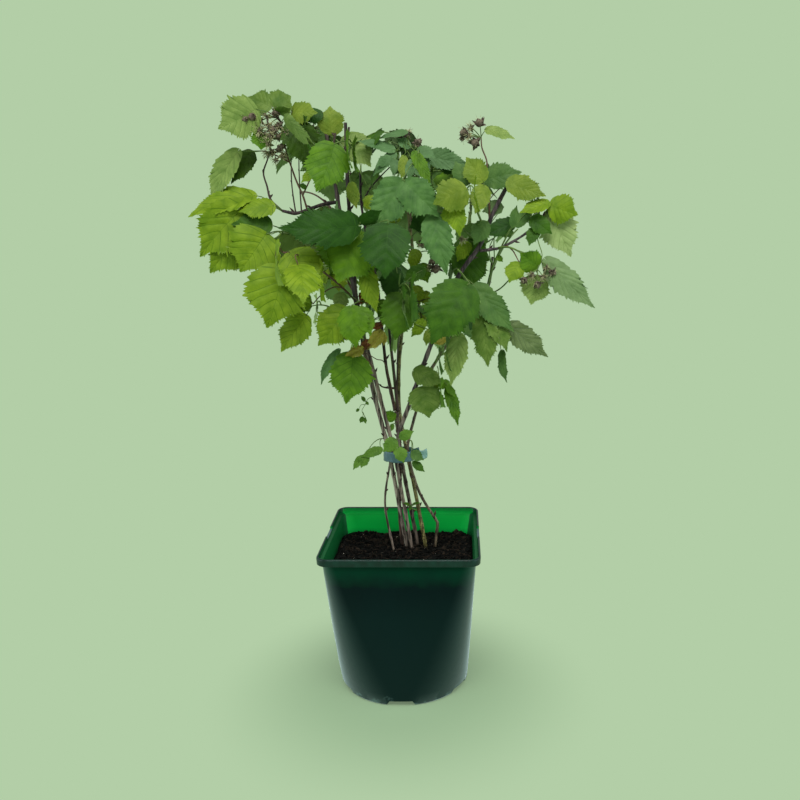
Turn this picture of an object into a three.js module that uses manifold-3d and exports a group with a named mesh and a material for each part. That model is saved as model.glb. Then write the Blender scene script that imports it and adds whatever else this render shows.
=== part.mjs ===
// A raspberry plant in a square-topped nursery pot: the pot, its potting soil, seven canes held
// by a soft tie, their forks and boughs, and the leafy shoots that stand on them.
// Millimetres, +Z up. The origin is the centre of the pot's underside; -Y is the front.
import * as THREE from "three";
import { mergeVertices } from "three/addons/utils/BufferGeometryUtils.js";
import Module from "manifold-3d";

const wasm = await Module();
wasm.setup();

// ---- Driving dimensions ----

const CLEAR = 0.3; // gap between neighbouring solids
const BEYOND = 1; // how far a cutting shape runs past the face that it cuts

const POT = {
  height: 161.5,
  footRadius: 67.5,
  footBevel: 1.5,
  bodyHalf: 75.6, // half width of the body's outside just under the lip
  rimHalf: 80.2,
  cornerRadius: 13,
  squaring: 0.75, // how soon, going up, the round foot turns square
  rimCorner: 12,
  lipHeight: 8,
  lipRound: 1.2,
  lipDraft: 0.4,
  wall: 1.4,
  floor: 2,
  cornerSteps: 5, // facets in each rounded corner
  levels: 3, // rings between foot and lip
};
const SLOT = { length: 31, width: 3 };
const CHANNEL = {
  count: 6,
  mouth: 30,
  roof: 23,
  height: 5,
  inner: 36,
  outer: 78,
  holeRadius: 4,
  holeAt: 48,
  holeSides: 6,
};
const SOIL = { top: 133.5, edgeDrop: 2.5, edgeWidth: 10, plateau: 52, unevenness: 1.6, seed: 5 };
const TIE = {
  centre: [-4.5, 9],
  halfX: 14.8,
  halfY: 12.6,
  thick: 1.2,
  bottom: 237,
  height: 11,
  sides: 24,
};
const TAILS = [
  { from: [8, 2.5], to: [17, 0.5], bottom: 241, height: 10 },
  { from: [16, 0.8], to: [25, 4], bottom: 239.5, height: 9 },
];

// Each cane is named, with its radius at foot and tip and the points that its axis runs through.
const CANES = [
  {
    name: "cane_left_tall",
    radii: [3.2, 1.9],
    through: [
      [1.6, 26, 0], [-14, 6, 243], [-32, 8, 322], [-45, 10, 399], [-61, 14, 500],
      [-72, 14, 573],
    ],
  },
  {
    name: "cane_left_front",
    radii: [2.9, 1.7],
    through: [
      [7.4, 20, 0], [-8, 1, 243], [-25, -6, 322], [-41, -14, 400], [-46, -20, 498],
      [-47, -22, 570],
    ],
  },
  {
    name: "cane_forked",
    radii: [2.5, 2.8],
    through: [[-4, 32, 0], [-6, 29, 172], [-3, 11, 243], [-6, 12, 276], [-6.4, 12.2, 288]],
  },
  {
    name: "cane_green",
    radii: [3.1, 1.6],
    through: [
      [22.5, 23.5, 0], [11, 20, 202], [4, 13, 243], [-5, 24, 298], [-1, 32, 371],
      [11, 36, 433], [7, 38, 488], [2, 40, 540],
    ],
  },
  {
    name: "cane_right_tall",
    radii: [3.0, 2.1],
    through: [
      [13.5, 29.5, 0], [1, 8, 221], [-2, 3, 243], [-4, 1, 264], [11, -4, 306], [29, -8, 356],
      [55, -12, 422], [79, -14, 458], [91, -15, 487], [109, -16, 521],
    ],
  },
  {
    name: "cane_right_short",
    radii: [2.5, 1.4],
    through: [
      [32.3, 26, 0], [35, 24, 162], [16, 11, 202], [6, 6, 243], [8, 9, 266], [24, 12, 319],
      [35, 14, 340], [56, 18, 371], [75, 22, 398], [89, 25, 417], [93, 27, 446],
    ],
  },
  {
    name: "cane_old_stub",
    radii: [1.9, 1.3],
    through: [[-12, 16, 0], [-21, 21, 185], [-13, 14, 243], [-19, 17, 262]],
  },
];
// A fork's arms stand on the flat tip of their cane.
const ARMS = [
  {
    name: "fork_arm_left",
    radii: [1.9, 1.2],
    through: [
      [-8.4, 13.6, 288.3], [-17, 18, 336], [-25, 28, 413], [-35, 34, 463], [-41, 38, 498],
      [-42, 42, 530],
    ],
  },
  {
    name: "fork_arm_right",
    radii: [1.6, 1.1],
    through: [[-4.3, 10.8, 288.3], [-8, 9, 330], [-12, 3, 380], [-10, -6, 420]],
  },
];
// A bough leaves its cane at height z and runs on through its points.
const BOUGHS = [
  {
    name: "bough_left",
    on: "cane_left_tall",
    z: 500,
    radii: [2.0, 1.6],
    through: [[-74, 1, 497], [-86, -8, 492], [-98, -14, 488], [-110, -18, 490]],
  },
  {
    name: "bough_right",
    on: "cane_right_tall",
    z: 452,
    radii: [1.7, 1.0],
    through: [[90, -19, 454], [102, -22, 457], [125, -28, 471], [145, -32, 492]],
  },
];
const LIMB = { sides: 6, stepsPerSpan: 2, flare: 1.25, flareHeight: 14 };

// A shoot leaves its limb at a height (or, for 1 and less, at that share of it) and arches by `bow`
// to the point of its tip. Then come the length of its end leaflets, how far its leaves droop
// (degrees), the heading of each leaf, the number of its fruits and its seed.
const SHOOTS = [
  // front
  ["foliage_right_low", "cane_right_short", 398, [58, -64, 436], 10, 56, 62, [300, 262], 0, 38],
  ["foliage_left_low", "cane_left_tall", 402, [-104, -54, 452], 14, 54, 58, [240, 262], 0, 14],
  ["foliage_front_dark", "cane_left_front", 448, [-52, -60, 492], 12, 52, 54, [200, 330, 262], 0, 24],
  ["foliage_centre_dark", "fork_arm_right", 408, [-18, -56, 484], 10, 50, 56, [235, 300, 268], 0, 23],
  ["foliage_centre_low", "fork_arm_right", 352, [4, -46, 432], 8, 48, 62, [270, 320], 0, 24],
  ["foliage_centre_front", "cane_left_front", 368, [-26, -40, 418], 8, 44, 58, [230, 290], 0, 30],
  ["foliage_low_left", "cane_left_front", 335, [-38, -32, 356], 6, 46, 66, [268], 0, 16],
  ["foliage_left_middle", "cane_left_tall", 462, [-136, -46, 506], 14, 50, 54, [320, 265, 225], 0, 13],
  ["foliage_upper_front", "cane_left_front", 532, [-36, -48, 554], 8, 46, 54, [215, 310, 258], 0, 22],
  ["foliage_top_left", "bough_left", 0.98, [-112, -35, 580], 8, 46, 34, [340, 200, 262], 5, 11],
  ["foliage_right_yellow", "cane_right_tall", 470, [58, -52, 516], 10, 42, 55, [300, 220, 265], 0, 41],
  ["foliage_right_hanging", "bough_right", 0.4, [122, -56, 446], 8, 44, 50, [258, 335], 4, 35],
  ["foliage_right_low_tip", "cane_right_short", 378, [100, -26, 400], 8, 46, 52, [275, 335], 0, 47],
  ["foliage_upper_right", "cane_green", 500, [22, -30, 544], 10, 48, 46, [235, 310, 268], 1, 31],
  // left side
  ["foliage_left_upper", "bough_left", 0.72, [-118, -10, 536], 14, 44, 50, [262, 205], 0, 12],
  ["foliage_left_outer", "bough_left", 0.45, [-142, -20, 520], 8, 48, 44, [185, 235], 0, 8],
  ["foliage_left_lower", "cane_left_tall", 430, [-116, -10, 470], 16, 48, 54, [170, 235], 0, 18],
  ["foliage_left_yellow", "cane_left_front", 374, [-72, -40, 402], 10, 42, 55, [285, 235], 0, 15],
  ["foliage_top_left_inner", "cane_left_tall", 520, [-90, -18, 572], 8, 44, 50, [60, 290], 1, 9],
  // right side
  ["foliage_right_tip", "cane_right_tall", 512, [72, -22, 532], 6, 42, 36, [240, 330], 0, 35],
  ["foliage_fruit_spray", "cane_right_tall", 478, [80, -14, 562], 2, 23, 25, [350], 5, 33],
  ["foliage_right_far", "bough_right", 0.98, [128, -38, 500], 4, 42, 55, [230, 320], 0, 34],
  ["foliage_right_middle", "cane_right_short", 440, [54, -34, 476], 12, 44, 58, [200, 320, 260], 2, 36],
  ["foliage_low_right", "cane_right_short", 338, [50, -24, 370], 4, 38, 62, [292], 0, 46],
  ["foliage_low_small", "cane_right_short", 305, [42, -14, 326], 4, 34, 60, [235, 330], 0, 46],
  // middle and back
  ["foliage_top_centre", "cane_green", 525, [0, 4, 566], 8, 44, 38, [230, 320, 170, 60], 2, 25],
  ["foliage_upper_back", "cane_left_tall", 545, [-60, 40, 574], 8, 46, 35, [20, 90, 150], 0, 20],
  ["foliage_centre_back", "cane_green", 470, [8, 78, 508], 14, 50, 45, [60, 150, 100], 0, 26],
  ["foliage_back_top", "fork_arm_left", 512, [-46, 84, 542], 12, 48, 42, [60, 170, 110], 0, 27],
  ["foliage_back_middle", "fork_arm_left", 425, [-40, 78, 462], 14, 50, 48, [50, 160, 100], 0, 28],
  ["foliage_back_low", "cane_green", 365, [6, 74, 398], 12, 46, 52, [60, 130], 0, 29],
  ["foliage_left_back", "cane_left_tall", 478, [-104, 56, 512], 16, 48, 45, [60, 200, 140], 0, 17],
  ["foliage_left_back_low", "cane_left_tall", 410, [-88, 62, 442], 14, 48, 50, [190, 80, 140], 0, 19],
  ["foliage_right_back", "cane_right_short", 430, [120, 52, 474], 10, 48, 45, [350, 80, 30], 0, 37],
  ["foliage_right_back_high", "cane_green", 520, [56, 66, 530], 14, 48, 42, [350, 100, 50], 0, 42],
  ["foliage_low_back", "cane_right_short", 362, [50, 70, 400], 12, 44, 50, [20, 100, 60], 0, 44],
  // young shoots at the tie
  ["sprout_left", "cane_old_stub", 256, [-28, 6, 256], 4, 20, 40, [260, 200], 0, 51],
  ["sprout_middle", "cane_left_front", 258, [-8, -20, 268], 3, 18, 45, [240, 300], 0, 53],
  ["sprout_right", "cane_right_short", 257, [22, -10, 262], 4, 17, 50, [330, 270], 0, 54],
].map(([name, limb, at, to, bow, blade, droop, turns, fruit, seed]) => (
  { name, limb, at, to, bow, blade, droop, turns, fruit, seed }
));

const SHOOT = { steps: 4, sides: 4, footRadius: 1.5, tipRadius: 0.9, firstLeaf: 0.45 };
const PETIOLE = { ofBlade: 0.62, vary: 0.35, rise: 30, sag: 22, radius: 0.85, steps: 2 };
const STALK = 0.34; // an end leaflet's own stalk, as a share of the leaflet
const LEAF = {
  droopVary: 16,
  sizeVary: 0.1,
  turnVary: 14,
  roll: 18,
  sideTurn: 76,
  sideLength: 0.76,
  sideFall: 0.25,
  halfWidth: 0.39, // at its widest, as a share of the length
  widest: 2.31, // brings the outline's peak to 1
  footPower: 0.45, // how round the outline is at its foot
  tipPower: 0.85, // and how pointed at its tip
  fold: 0.18,
  curl: 0.2,
  thick: 0.026,
  stations: [0.18, 0.5, 0.8],
  sideStations: [0.25, 0.65],
};
const FRUIT = {
  stalk: 14,
  shortest: 0.8,
  stalkVary: 0.5,
  turnVary: 40,
  lowest: -60,
  highest: 30,
  radius: 4.4,
  flatness: 0.85,
  hang: 0.4,
  stalkSides: 3,
};
// Space kept round the sample points of limbs, twigs and leaves. A blocked leaf turns aside and grows
// smaller, and a blocked stem bends aside, step by step up to the number of tries.
const SPACE = {
  sample: 3.5,
  blades: 5.8,
  ownBlades: 3.6,
  limb: 1.6,
  cell: 12,
  leafTries: 36,
  asides: 7,
  aside: 11,
  shrink: 0.013,
  stemTries: 9,
  stemAside: 5,
  stemStart: 6,
};

// ---- Colours and finishes ----

const finish = (color, roughness) => new THREE.MeshStandardMaterial({ color, roughness, metalness: 0 });
const FINISH = {
  pot: finish("#0b4a2a", 0.3),
  soil: finish("#1d1712", 0.95),
  tie: finish("#33535a", 0.6),
  cane: finish("#53443b", 0.75),
  leaf: finish("#4a7a24", 0.6),
};

// ---- Small tools ----

const DEGREE = Math.PI / 180;
const vector = (x, y, z) => new THREE.Vector3(x, y, z);
const along = (heading, rise) => vector(
  Math.cos(heading * DEGREE) * Math.cos(rise * DEGREE),
  Math.sin(heading * DEGREE) * Math.cos(rise * DEGREE),
  Math.sin(rise * DEGREE),
);
const mixed = (a, b, share) => a + (b - a) * share;

// A repeatable source of numbers from 0 to 1.
function seeded(seed) {
  let state = (seed * 2654435761) % 4294967296;
  const next = () => {
    state = (state * 1664525 + 1013904223) % 4294967296;
    return state / 4294967296;
  };
  next();
  return next;
}

// The triangles of a skin drawn over rings of equal length, with flat ends. A ring of one point is
// a tip. `open` names faces to leave out: the index of a span and the ring's point it starts at.
function skin(rings, { isFootOpen = false, open = [] } = {}) {
  const faces = [];
  for (let span = 0; span + 1 < rings.length; span += 1) {
    const [low, high] = [rings[span], rings[span + 1]];
    const count = Math.max(low.length, high.length);
    for (let i = 0; i < count; i += 1) {
      const j = (i + 1) % count;
      if (open.some(([openSpan, start]) => openSpan === span && start === i)) continue;
      if (low.length > 1) faces.push(low[i], low[j], high[j % high.length]);
      if (high.length > 1) faces.push(low[i % low.length], high[j], high[i]);
    }
  }
  const [first, last] = [rings[0], rings.at(-1)];
  for (let i = 1; i + 1 < first.length && !isFootOpen; i += 1) faces.push(first[0], first[i + 1], first[i]);
  for (let i = 1; i + 1 < last.length; i += 1) faces.push(last[0], last[i], last[i + 1]);
  return faces;
}

function geometryFrom(faces) {
  const geometry = new THREE.BufferGeometry();
  geometry.setAttribute("position", new THREE.Float32BufferAttribute(faces.flatMap((p) => p.toArray()), 3));
  return geometry;
}

const loft = (rings) => geometryFrom(skin(rings));

function solid(geometry) {
  geometry.deleteAttribute("normal");
  geometry.deleteAttribute("uv");
  const merged = mergeVertices(geometry, 1e-4);
  return new wasm.Manifold(new wasm.Mesh({
    numProp: 3,
    vertProperties: merged.getAttribute("position").array,
    triVerts: new Uint32Array(merged.getIndex().array),
  }));
}

function geometryOf(shape) {
  const mesh = shape.getMesh();
  const geometry = new THREE.BufferGeometry();
  geometry.setAttribute("position", new THREE.BufferAttribute(mesh.vertProperties, 3));
  geometry.setIndex(new THREE.BufferAttribute(mesh.triVerts, 1));
  return geometry;
}

const box = (sizeX, sizeY, sizeZ, x, y, z) => solid(
  new THREE.BoxGeometry(sizeX, sizeY, sizeZ).translate(x, y, z),
);

// ---- Pot ----

// A square ring of half width `half` with round corners; a corner as large as `half` is a circle.
function squareRing(half, corner, z) {
  const ring = [];
  for (let quarter = 0; quarter < 4; quarter += 1) {
    for (let step = 0; step <= POT.cornerSteps; step += 1) {
      const angle = (quarter + step / (POT.cornerSteps + 0.001)) * 90 * DEGREE;
      const side = (quarter + 0.5) * 90 * DEGREE;
      const reach = (half - corner) * Math.SQRT2;
      ring.push(vector(
        reach * Math.cos(side) + corner * Math.cos(angle),
        reach * Math.sin(side) + corner * Math.sin(angle),
        z,
      ));
    }
  }
  return ring;
}

// The pot's body at height z, moved in by `inset`: round at the foot and square under the lip.
function bodyRing(z, inset) {
  const share = z / (POT.height - POT.lipHeight);
  const half = mixed(POT.footRadius, POT.bodyHalf, share);
  const corner = mixed(POT.footRadius, POT.cornerRadius, share ** POT.squaring);
  return squareRing(half - inset, Math.max(corner - inset, 1), z);
}

function body(bottom, top, inset) {
  const rings = [];
  for (let level = 0; level <= POT.levels; level += 1) {
    rings.push(bodyRing(mixed(bottom, top, level / POT.levels), inset));
  }
  return rings;
}

// The raised drain channels under the floor, as trapezoids grown by `grow` all round.
function channels(grow, bottom) {
  const slope = (CHANNEL.mouth - CHANNEL.roof) / 2 / CHANNEL.height;
  const top = CHANNEL.height + grow;
  const shapes = [];
  for (let i = 0; i < CHANNEL.count; i += 1) {
    const halfAt = (z) => CHANNEL.mouth / 2 - slope * z + grow;
    const [foot, roof] = [halfAt(bottom), halfAt(top)];
    const outline = [[-foot, bottom], [foot, bottom], [roof, top], [-roof, top]];
    const ringAt = (y) => outline.map(([x, z]) => vector(x, -y, z));
    const wedge = loft([ringAt(CHANNEL.inner - grow), ringAt(CHANNEL.outer)]);
    shapes.push(solid(wedge.rotateZ((i * 360 * DEGREE) / CHANNEL.count)));
  }
  return shapes.reduce((all, shape) => all.add(shape));
}

function pot() {
  const lipBottom = POT.height - POT.lipHeight;
  const lipRing = (z, inset) => squareRing(POT.rimHalf - inset, POT.rimCorner - inset, z);
  const outside = solid(loft([
    bodyRing(POT.footBevel, POT.footBevel).map((p) => p.clone().setZ(0)),
    ...body(POT.footBevel, lipBottom, 0),
    lipRing(lipBottom, POT.lipDraft),
    lipRing(POT.height - POT.lipRound, 0),
    lipRing(POT.height, POT.lipRound),
  ]));
  const topRing = bodyRing(lipBottom, POT.wall).map((p) => p.clone().setZ(POT.height + BEYOND));
  const inside = solid(loft([...body(POT.floor, lipBottom, POT.wall), topRing]));
  const skirt = solid(loft([
    squareRing(POT.rimHalf - POT.wall, POT.rimCorner - POT.wall, lipBottom - BEYOND),
    squareRing(POT.rimHalf - POT.wall, POT.rimCorner - POT.wall, POT.height - POT.wall),
  ]));
  const core = solid(loft([
    bodyRing(lipBottom, 0).map((p) => p.clone().setZ(lipBottom - 2 * BEYOND)),
    bodyRing(lipBottom, 0).map((p) => p.clone().setZ(POT.height)),
  ]));
  const slotX = (POT.bodyHalf + POT.rimHalf - POT.wall) / 2;
  const slots = [-slotX, slotX].map((x) => box(SLOT.width, SLOT.length, POT.wall * 6, x, 0, POT.height));
  const holes = [];
  for (let i = 0; i < CHANNEL.count; i += 1) {
    const { holeRadius, height, holeSides } = CHANNEL;
    const hole = new THREE.CylinderGeometry(holeRadius, holeRadius, height * 4, holeSides);
    hole.rotateX(90 * DEGREE).translate(0, -CHANNEL.holeAt, CHANNEL.height);
    holes.push(solid(hole.rotateZ((i * 360 * DEGREE) / CHANNEL.count)));
  }
  const hollow = inside.subtract(channels(POT.wall, -BEYOND));
  return [hollow, skirt.subtract(core), channels(0, -BEYOND), ...slots, ...holes]
    .reduce((shape, cut) => shape.subtract(cut), outside);
}

// ---- Potting soil ----

function soil() {
  const random = seeded(SOIL.seed);
  const inset = POT.wall + CLEAR;
  const edge = SOIL.top - SOIL.edgeDrop;
  const uneven = (p) => p.clone().setZ(p.z + (random() - 0.5) * 2 * SOIL.unevenness);
  const rings = body(POT.floor + CLEAR, edge - SOIL.unevenness, inset);
  rings.push(bodyRing(edge, inset + BEYOND).map(uneven));
  rings.push(bodyRing(edge, inset + BEYOND + SOIL.edgeWidth).map(uneven));
  rings.push(squareRing(SOIL.plateau, SOIL.plateau, SOIL.top));
  return solid(loft(rings)).subtract(channels(POT.wall + CLEAR, -BEYOND));
}

// ---- Tie ----

function tie() {
  const ellipse = (grow, z) => Array.from({ length: TIE.sides }, (_, i) => {
    const angle = (i / TIE.sides) * 360 * DEGREE;
    return vector(
      TIE.centre[0] + (TIE.halfX + grow) * Math.cos(angle),
      TIE.centre[1] + (TIE.halfY + grow) * Math.sin(angle),
      z,
    );
  });
  const top = TIE.bottom + TIE.height;
  const outer = solid(loft([ellipse(TIE.thick, TIE.bottom), ellipse(TIE.thick, top)]));
  const inner = solid(loft([ellipse(0, TIE.bottom - BEYOND), ellipse(0, top + BEYOND)]));
  const tails = TAILS.map(({ from, to, bottom, height }) => {
    const end = ([x, y], lift) => [[0, 0], [TIE.thick, 0], [TIE.thick, height], [0, height]]
      .map(([across, up]) => vector(x, y + across, bottom + up + lift));
    return solid(loft([end(from, 0), end(to, 1)]));
  });
  return tails.reduce((all, tail) => all.add(tail), outer.subtract(inner));
}

// ---- Canes, forks and boughs ----

const limbs = new Map();

// A limb's axis as evenly stepped points with their directions and radii.
function axisOf(points, radii, hasFlare) {
  const curve = new THREE.CatmullRomCurve3(points, false, "catmullrom", 0.5);
  const steps = (points.length - 1) * LIMB.stepsPerSpan;
  const axis = [];
  for (let step = 0; step <= steps; step += 1) {
    const share = step / steps;
    const point = curve.getPoint(share);
    let radius = mixed(radii[0], radii[1], share);
    if (hasFlare) {
      const height = point.z - points[0].z;
      radius *= mixed(LIMB.flare, 1, Math.min(height / LIMB.flareHeight, 1));
    }
    axis.push({ point, tangent: curve.getTangent(share), radius });
  }
  return axis;
}

// Rings of `sides` points round an axis; the first may lie flat.
function tube(axis, sides, flatFoot) {
  let side = vector(1, 0, 0);
  return axis.map(({ point, tangent, radius }, step) => {
    const forward = step === 0 && flatFoot ? vector(0, 0, 1) : tangent;
    side = side.clone().addScaledVector(forward, -side.dot(forward)).normalize();
    const up = forward.clone().cross(side);
    return Array.from({ length: sides }, (_, i) => {
      const angle = (i / sides) * 360 * DEGREE;
      return point.clone()
        .addScaledVector(side, radius * Math.cos(angle))
        .addScaledVector(up, radius * Math.sin(angle));
    });
  });
}

// A place on a limb's axis: at a height, or for 1 and less at that share of its steps.
function limbAt(name, at) {
  const axis = limbs.get(name);
  const last = axis.length - 1;
  const above = at > 1 ? axis.findIndex(({ point }) => point.z >= at) : Math.ceil(at * last);
  if (above < 1) throw new Error(`${name} has no place at ${at}`);
  const high = axis[above];
  const low = axis[above - 1];
  const share = at > 1 ? (at - low.point.z) / (high.point.z - low.point.z) : at * last - above + 1;
  return {
    point: low.point.clone().lerp(high.point, share),
    tangent: low.tangent.clone().lerp(high.tangent, share).normalize(),
    radius: mixed(low.radius, high.radius, share),
  };
}

// Where a twig of the given radius starts, clear of its limb's side.
function footOn(place, direction, radius) {
  const slant = Math.abs(direction.dot(place.tangent));
  const across = Math.sqrt(1 - slant * slant);
  const offset = (place.radius + CLEAR + radius * slant) / across;
  return place.point.clone().addScaledVector(direction, offset);
}

function growLimbs() {
  for (const { name, radii, through } of CANES) {
    const [[x, y], ...rest] = through;
    const points = [vector(x, y, SOIL.top + CLEAR), ...rest.map((p) => vector(...p))];
    limbs.set(name, axisOf(points, radii, true));
  }
  for (const { name, radii, through } of ARMS) {
    limbs.set(name, axisOf(through.map((p) => vector(...p)), radii, false));
  }
  for (const { name, on, z, radii, through } of BOUGHS) {
    const place = limbAt(on, z);
    const first = vector(...through[0]);
    const direction = first.clone().sub(place.point).normalize();
    const points = [footOn(place, direction, radii[0]), ...through.map((p) => vector(...p))];
    limbs.set(name, axisOf(points, radii, false));
  }
}

// ---- Room between shoots ----

// Sample points of all that has grown, kept in cells so that near ones are found fast.
const grown = new Map();
const cellOf = (p) => [p.x, p.y, p.z].map((value) => Math.floor(value / SPACE.cell));

function keep(point, radius, owner) {
  const key = cellOf(point).join();
  if (!grown.has(key)) grown.set(key, []);
  grown.get(key).push({ point, radius, owner });
}

// Whether a sample point of the given radius (0 for a blade) keeps its distance from all else.
function isFree(point, radius, owner) {
  const [cx, cy, cz] = cellOf(point);
  for (let x = cx - 1; x <= cx + 1; x += 1) {
    for (let y = cy - 1; y <= cy + 1; y += 1) {
      for (let z = cz - 1; z <= cz + 1; z += 1) {
        for (const near of grown.get([x, y, z].join()) ?? []) {
          const isOwn = near.owner === owner;
          if (isOwn && near.radius > 0) continue;
          const areBlades = near.radius + radius === 0;
          const room = isOwn ? SPACE.ownBlades : SPACE.blades;
          const clear = Math.max(near.radius + radius + SPACE.limb, SPACE.sample);
          const least = areBlades ? room : clear;
          if (near.point.distanceTo(point) < least) return false;
        }
      }
    }
  }
  return true;
}

// Sample points along a path, from the given distance on.
function pathSamples(path, start) {
  const samples = [];
  let walked = 0;
  for (let step = 0; step + 1 < path.length; step += 1) {
    const span = path[step].distanceTo(path[step + 1]);
    const parts = Math.ceil(span / SPACE.sample);
    for (let part = 1; part <= parts; part += 1) {
      const share = part / parts;
      if (walked + span * share >= start) samples.push(path[step].clone().lerp(path[step + 1], share));
    }
    walked += span;
  }
  return samples;
}

// The n-th step of a search to both sides: 0, 1, -1, 2, -2 and so on.
const eachSide = (n) => Math.ceil(n / 2) * (n % 2 ? 1 : -1);

function keepLimbs() {
  for (const [name, axis] of limbs) {
    for (let step = 0; step + 1 < axis.length; step += 1) {
      const span = axis[step].point.distanceTo(axis[step + 1].point);
      const parts = Math.ceil(span / SPACE.sample);
      for (let part = 0; part < parts; part += 1) {
        const point = axis[step].point.clone().lerp(axis[step + 1].point, part / parts);
        keep(point, axis[step].radius, name);
      }
    }
  }
}

// ---- Leaves ----

// Half the width of a leaflet, as a share of its length, at the share t of its length.
function halfWidthAt(t) {
  const outline = t ** LEAF.footPower * (1 - t) ** LEAF.tipPower;
  return LEAF.halfWidth * LEAF.widest * outline;
}

// A point of a leaflet's middle surface: t runs from foot to tip, side from -1 to 1.
function leafletPoint({ foot, forward, normal, length }, t, side) {
  const across = normal.clone().cross(forward);
  const width = halfWidthAt(t) * length;
  return foot.clone()
    .addScaledVector(forward, length * t)
    .addScaledVector(normal, -LEAF.curl * length * t * t + Math.abs(side) * width * LEAF.fold)
    .addScaledVector(across, side * width);
}

function leafletSamples(leaflet) {
  const rows = Math.ceil(leaflet.length / SPACE.sample);
  const samples = [];
  for (let row = 1; row <= rows; row += 1) {
    const t = row / rows;
    const columns = Math.ceil((halfWidthAt(t) * leaflet.length) / SPACE.sample);
    for (let column = -columns; column <= columns; column += 1) {
      samples.push(leafletPoint(leaflet, t, columns ? column / columns : 0));
    }
  }
  return samples;
}

// The rings of a leaflet's thin blade, thickest along its midrib, from its foot to its tip.
function bladeRings(leaflet, stations) {
  const half = (leaflet.length * LEAF.thick) / 2;
  const rings = stations.map((t) => {
    const middle = leafletPoint(leaflet, t, 0);
    return [
      leafletPoint(leaflet, t, 1),
      middle.clone().addScaledVector(leaflet.normal, half),
      leafletPoint(leaflet, t, -1),
      middle.addScaledVector(leaflet.normal, -half),
    ];
  });
  return [...rings, [leafletPoint(leaflet, 1, 0)]];
}

// A square ring round a petiole, its flat sides facing across and up.
function petioleRing(point, tangent, level) {
  const across = level.clone().multiplyScalar(PETIOLE.radius * Math.SQRT1_2);
  const up = tangent.clone().cross(level).normalize().multiplyScalar(PETIOLE.radius * Math.SQRT1_2);
  return [[1, 1], [-1, 1], [-1, -1], [1, -1]]
    .map(([a, b]) => point.clone().addScaledVector(across, a).addScaledVector(up, b));
}

// A compound leaf in one skin: the petiole runs on into the end leaflet, and the side leaflets
// grow out of its two sides at the joint.
function leafSolid({ petiole, level, leaflets: [end, left, right] }) {
  const joint = petiole.at(-1);
  const arrival = joint.clone().sub(petiole.at(-2)).normalize();
  const rings = petiole.slice(0, -1).map((point) => petioleRing(point, arrival, level));
  const before = petioleRing(joint.clone().addScaledVector(arrival, -PETIOLE.radius), arrival, level);
  const after = petioleRing(joint.clone().addScaledVector(end.forward, PETIOLE.radius), end.forward, level);
  const stalk = petioleRing(end.foot, end.forward, level);
  const open = [[rings.length, 1], [rings.length, 3]];
  const faces = skin([...rings, before, after, stalk, ...bladeRings(end, LEAF.stations)], { open });
  const leftFoot = [after[1], before[1], before[2], after[2]];
  const rightFoot = [before[0], after[0], after[3], before[3]];
  faces.push(...skin([leftFoot, ...bladeRings(left, LEAF.sideStations)], { isFootOpen: true }));
  faces.push(...skin([rightFoot, ...bladeRings(right, LEAF.sideStations)], { isFootOpen: true }));
  return solid(geometryFrom(faces));
}

// A path of straight steps from a point, whose rise changes evenly along it.
function arc(from, heading, rise, bend, length, steps) {
  const path = [from];
  for (let step = 0; step < steps; step += 1) {
    const lift = rise + (bend * (step + 0.5)) / steps;
    path.push(path.at(-1).clone().addScaledVector(along(heading, lift), length / steps));
  }
  return path;
}

function twigSolid(path, footRadius, tipRadius, sides) {
  const axis = path.map((point, step) => {
    const before = path[Math.max(step - 1, 0)];
    const after = path[Math.min(step + 1, path.length - 1)];
    return {
      point,
      tangent: after.clone().sub(before).normalize(),
      radius: mixed(footRadius, tipRadius, step / (path.length - 1)),
    };
  });
  return solid(loft(tube(axis, sides, false)));
}

// One compound leaf: its petiole's path and its three leaflets, the end one first. `chance` holds
// six numbers from -1 to 1 that make it differ from its neighbours.
function compoundLeaf(node, heading, droop, blade, chance) {
  const turn = heading + chance[0] * LEAF.turnVary;
  const petioleLength = blade * (PETIOLE.ofBlade + chance[1] * PETIOLE.vary);
  const rise = PETIOLE.rise * (1 + chance[2] / 2);
  const roll = chance[4] * LEAF.roll;
  const size = blade * (1 + chance[5] * LEAF.sizeVary);

  const petiole = arc(node, turn, rise, -PETIOLE.sag * 2, petioleLength, PETIOLE.steps);
  const joint = petiole.at(-1);
  const forward = along(turn, -droop - chance[3] * LEAF.droopVary);
  const level = along(turn + 90, 0);
  const normal = forward.clone().cross(level)
    .applyAxisAngle(forward, roll * DEGREE)
    .normalize();
  const across = normal.clone().cross(forward);
  const end = joint.clone().addScaledVector(forward, size * STALK);
  const leaflets = [{ foot: end, forward, normal, length: size }];
  for (const side of [-1, 1]) {
    const out = forward.clone().multiplyScalar(Math.cos(LEAF.sideTurn * DEGREE))
      .addScaledVector(across, side * Math.sin(LEAF.sideTurn * DEGREE))
      .addScaledVector(vector(0, 0, -1), LEAF.sideFall)
      .normalize();
    const top = normal.clone().addScaledVector(out, -normal.dot(out)).normalize();
    leaflets.push({ foot: joint, forward: out, normal: top, length: size * LEAF.sideLength });
  }
  return { petiole, level, leaflets };
}

const hasRoom = (samples, radius, owner) => samples.every((point) => isFree(point, radius, owner));

function keepAll(samples, radius, owner) {
  for (const point of samples) keep(point, radius, owner);
}

// Whether a leaf has room; if so its room is kept.
function settleLeaf(leaf, owner) {
  const stalk = pathSamples([...leaf.petiole, leaf.leaflets[0].foot], PETIOLE.radius * 2);
  const blades = leaf.leaflets.flatMap(leafletSamples);
  if (!hasRoom(stalk, PETIOLE.radius, owner) || !hasRoom(blades, 0, owner)) return false;
  keepAll(stalk, PETIOLE.radius, owner);
  keepAll(blades, 0, owner);
  return true;
}

// ---- Shoots ----

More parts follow.
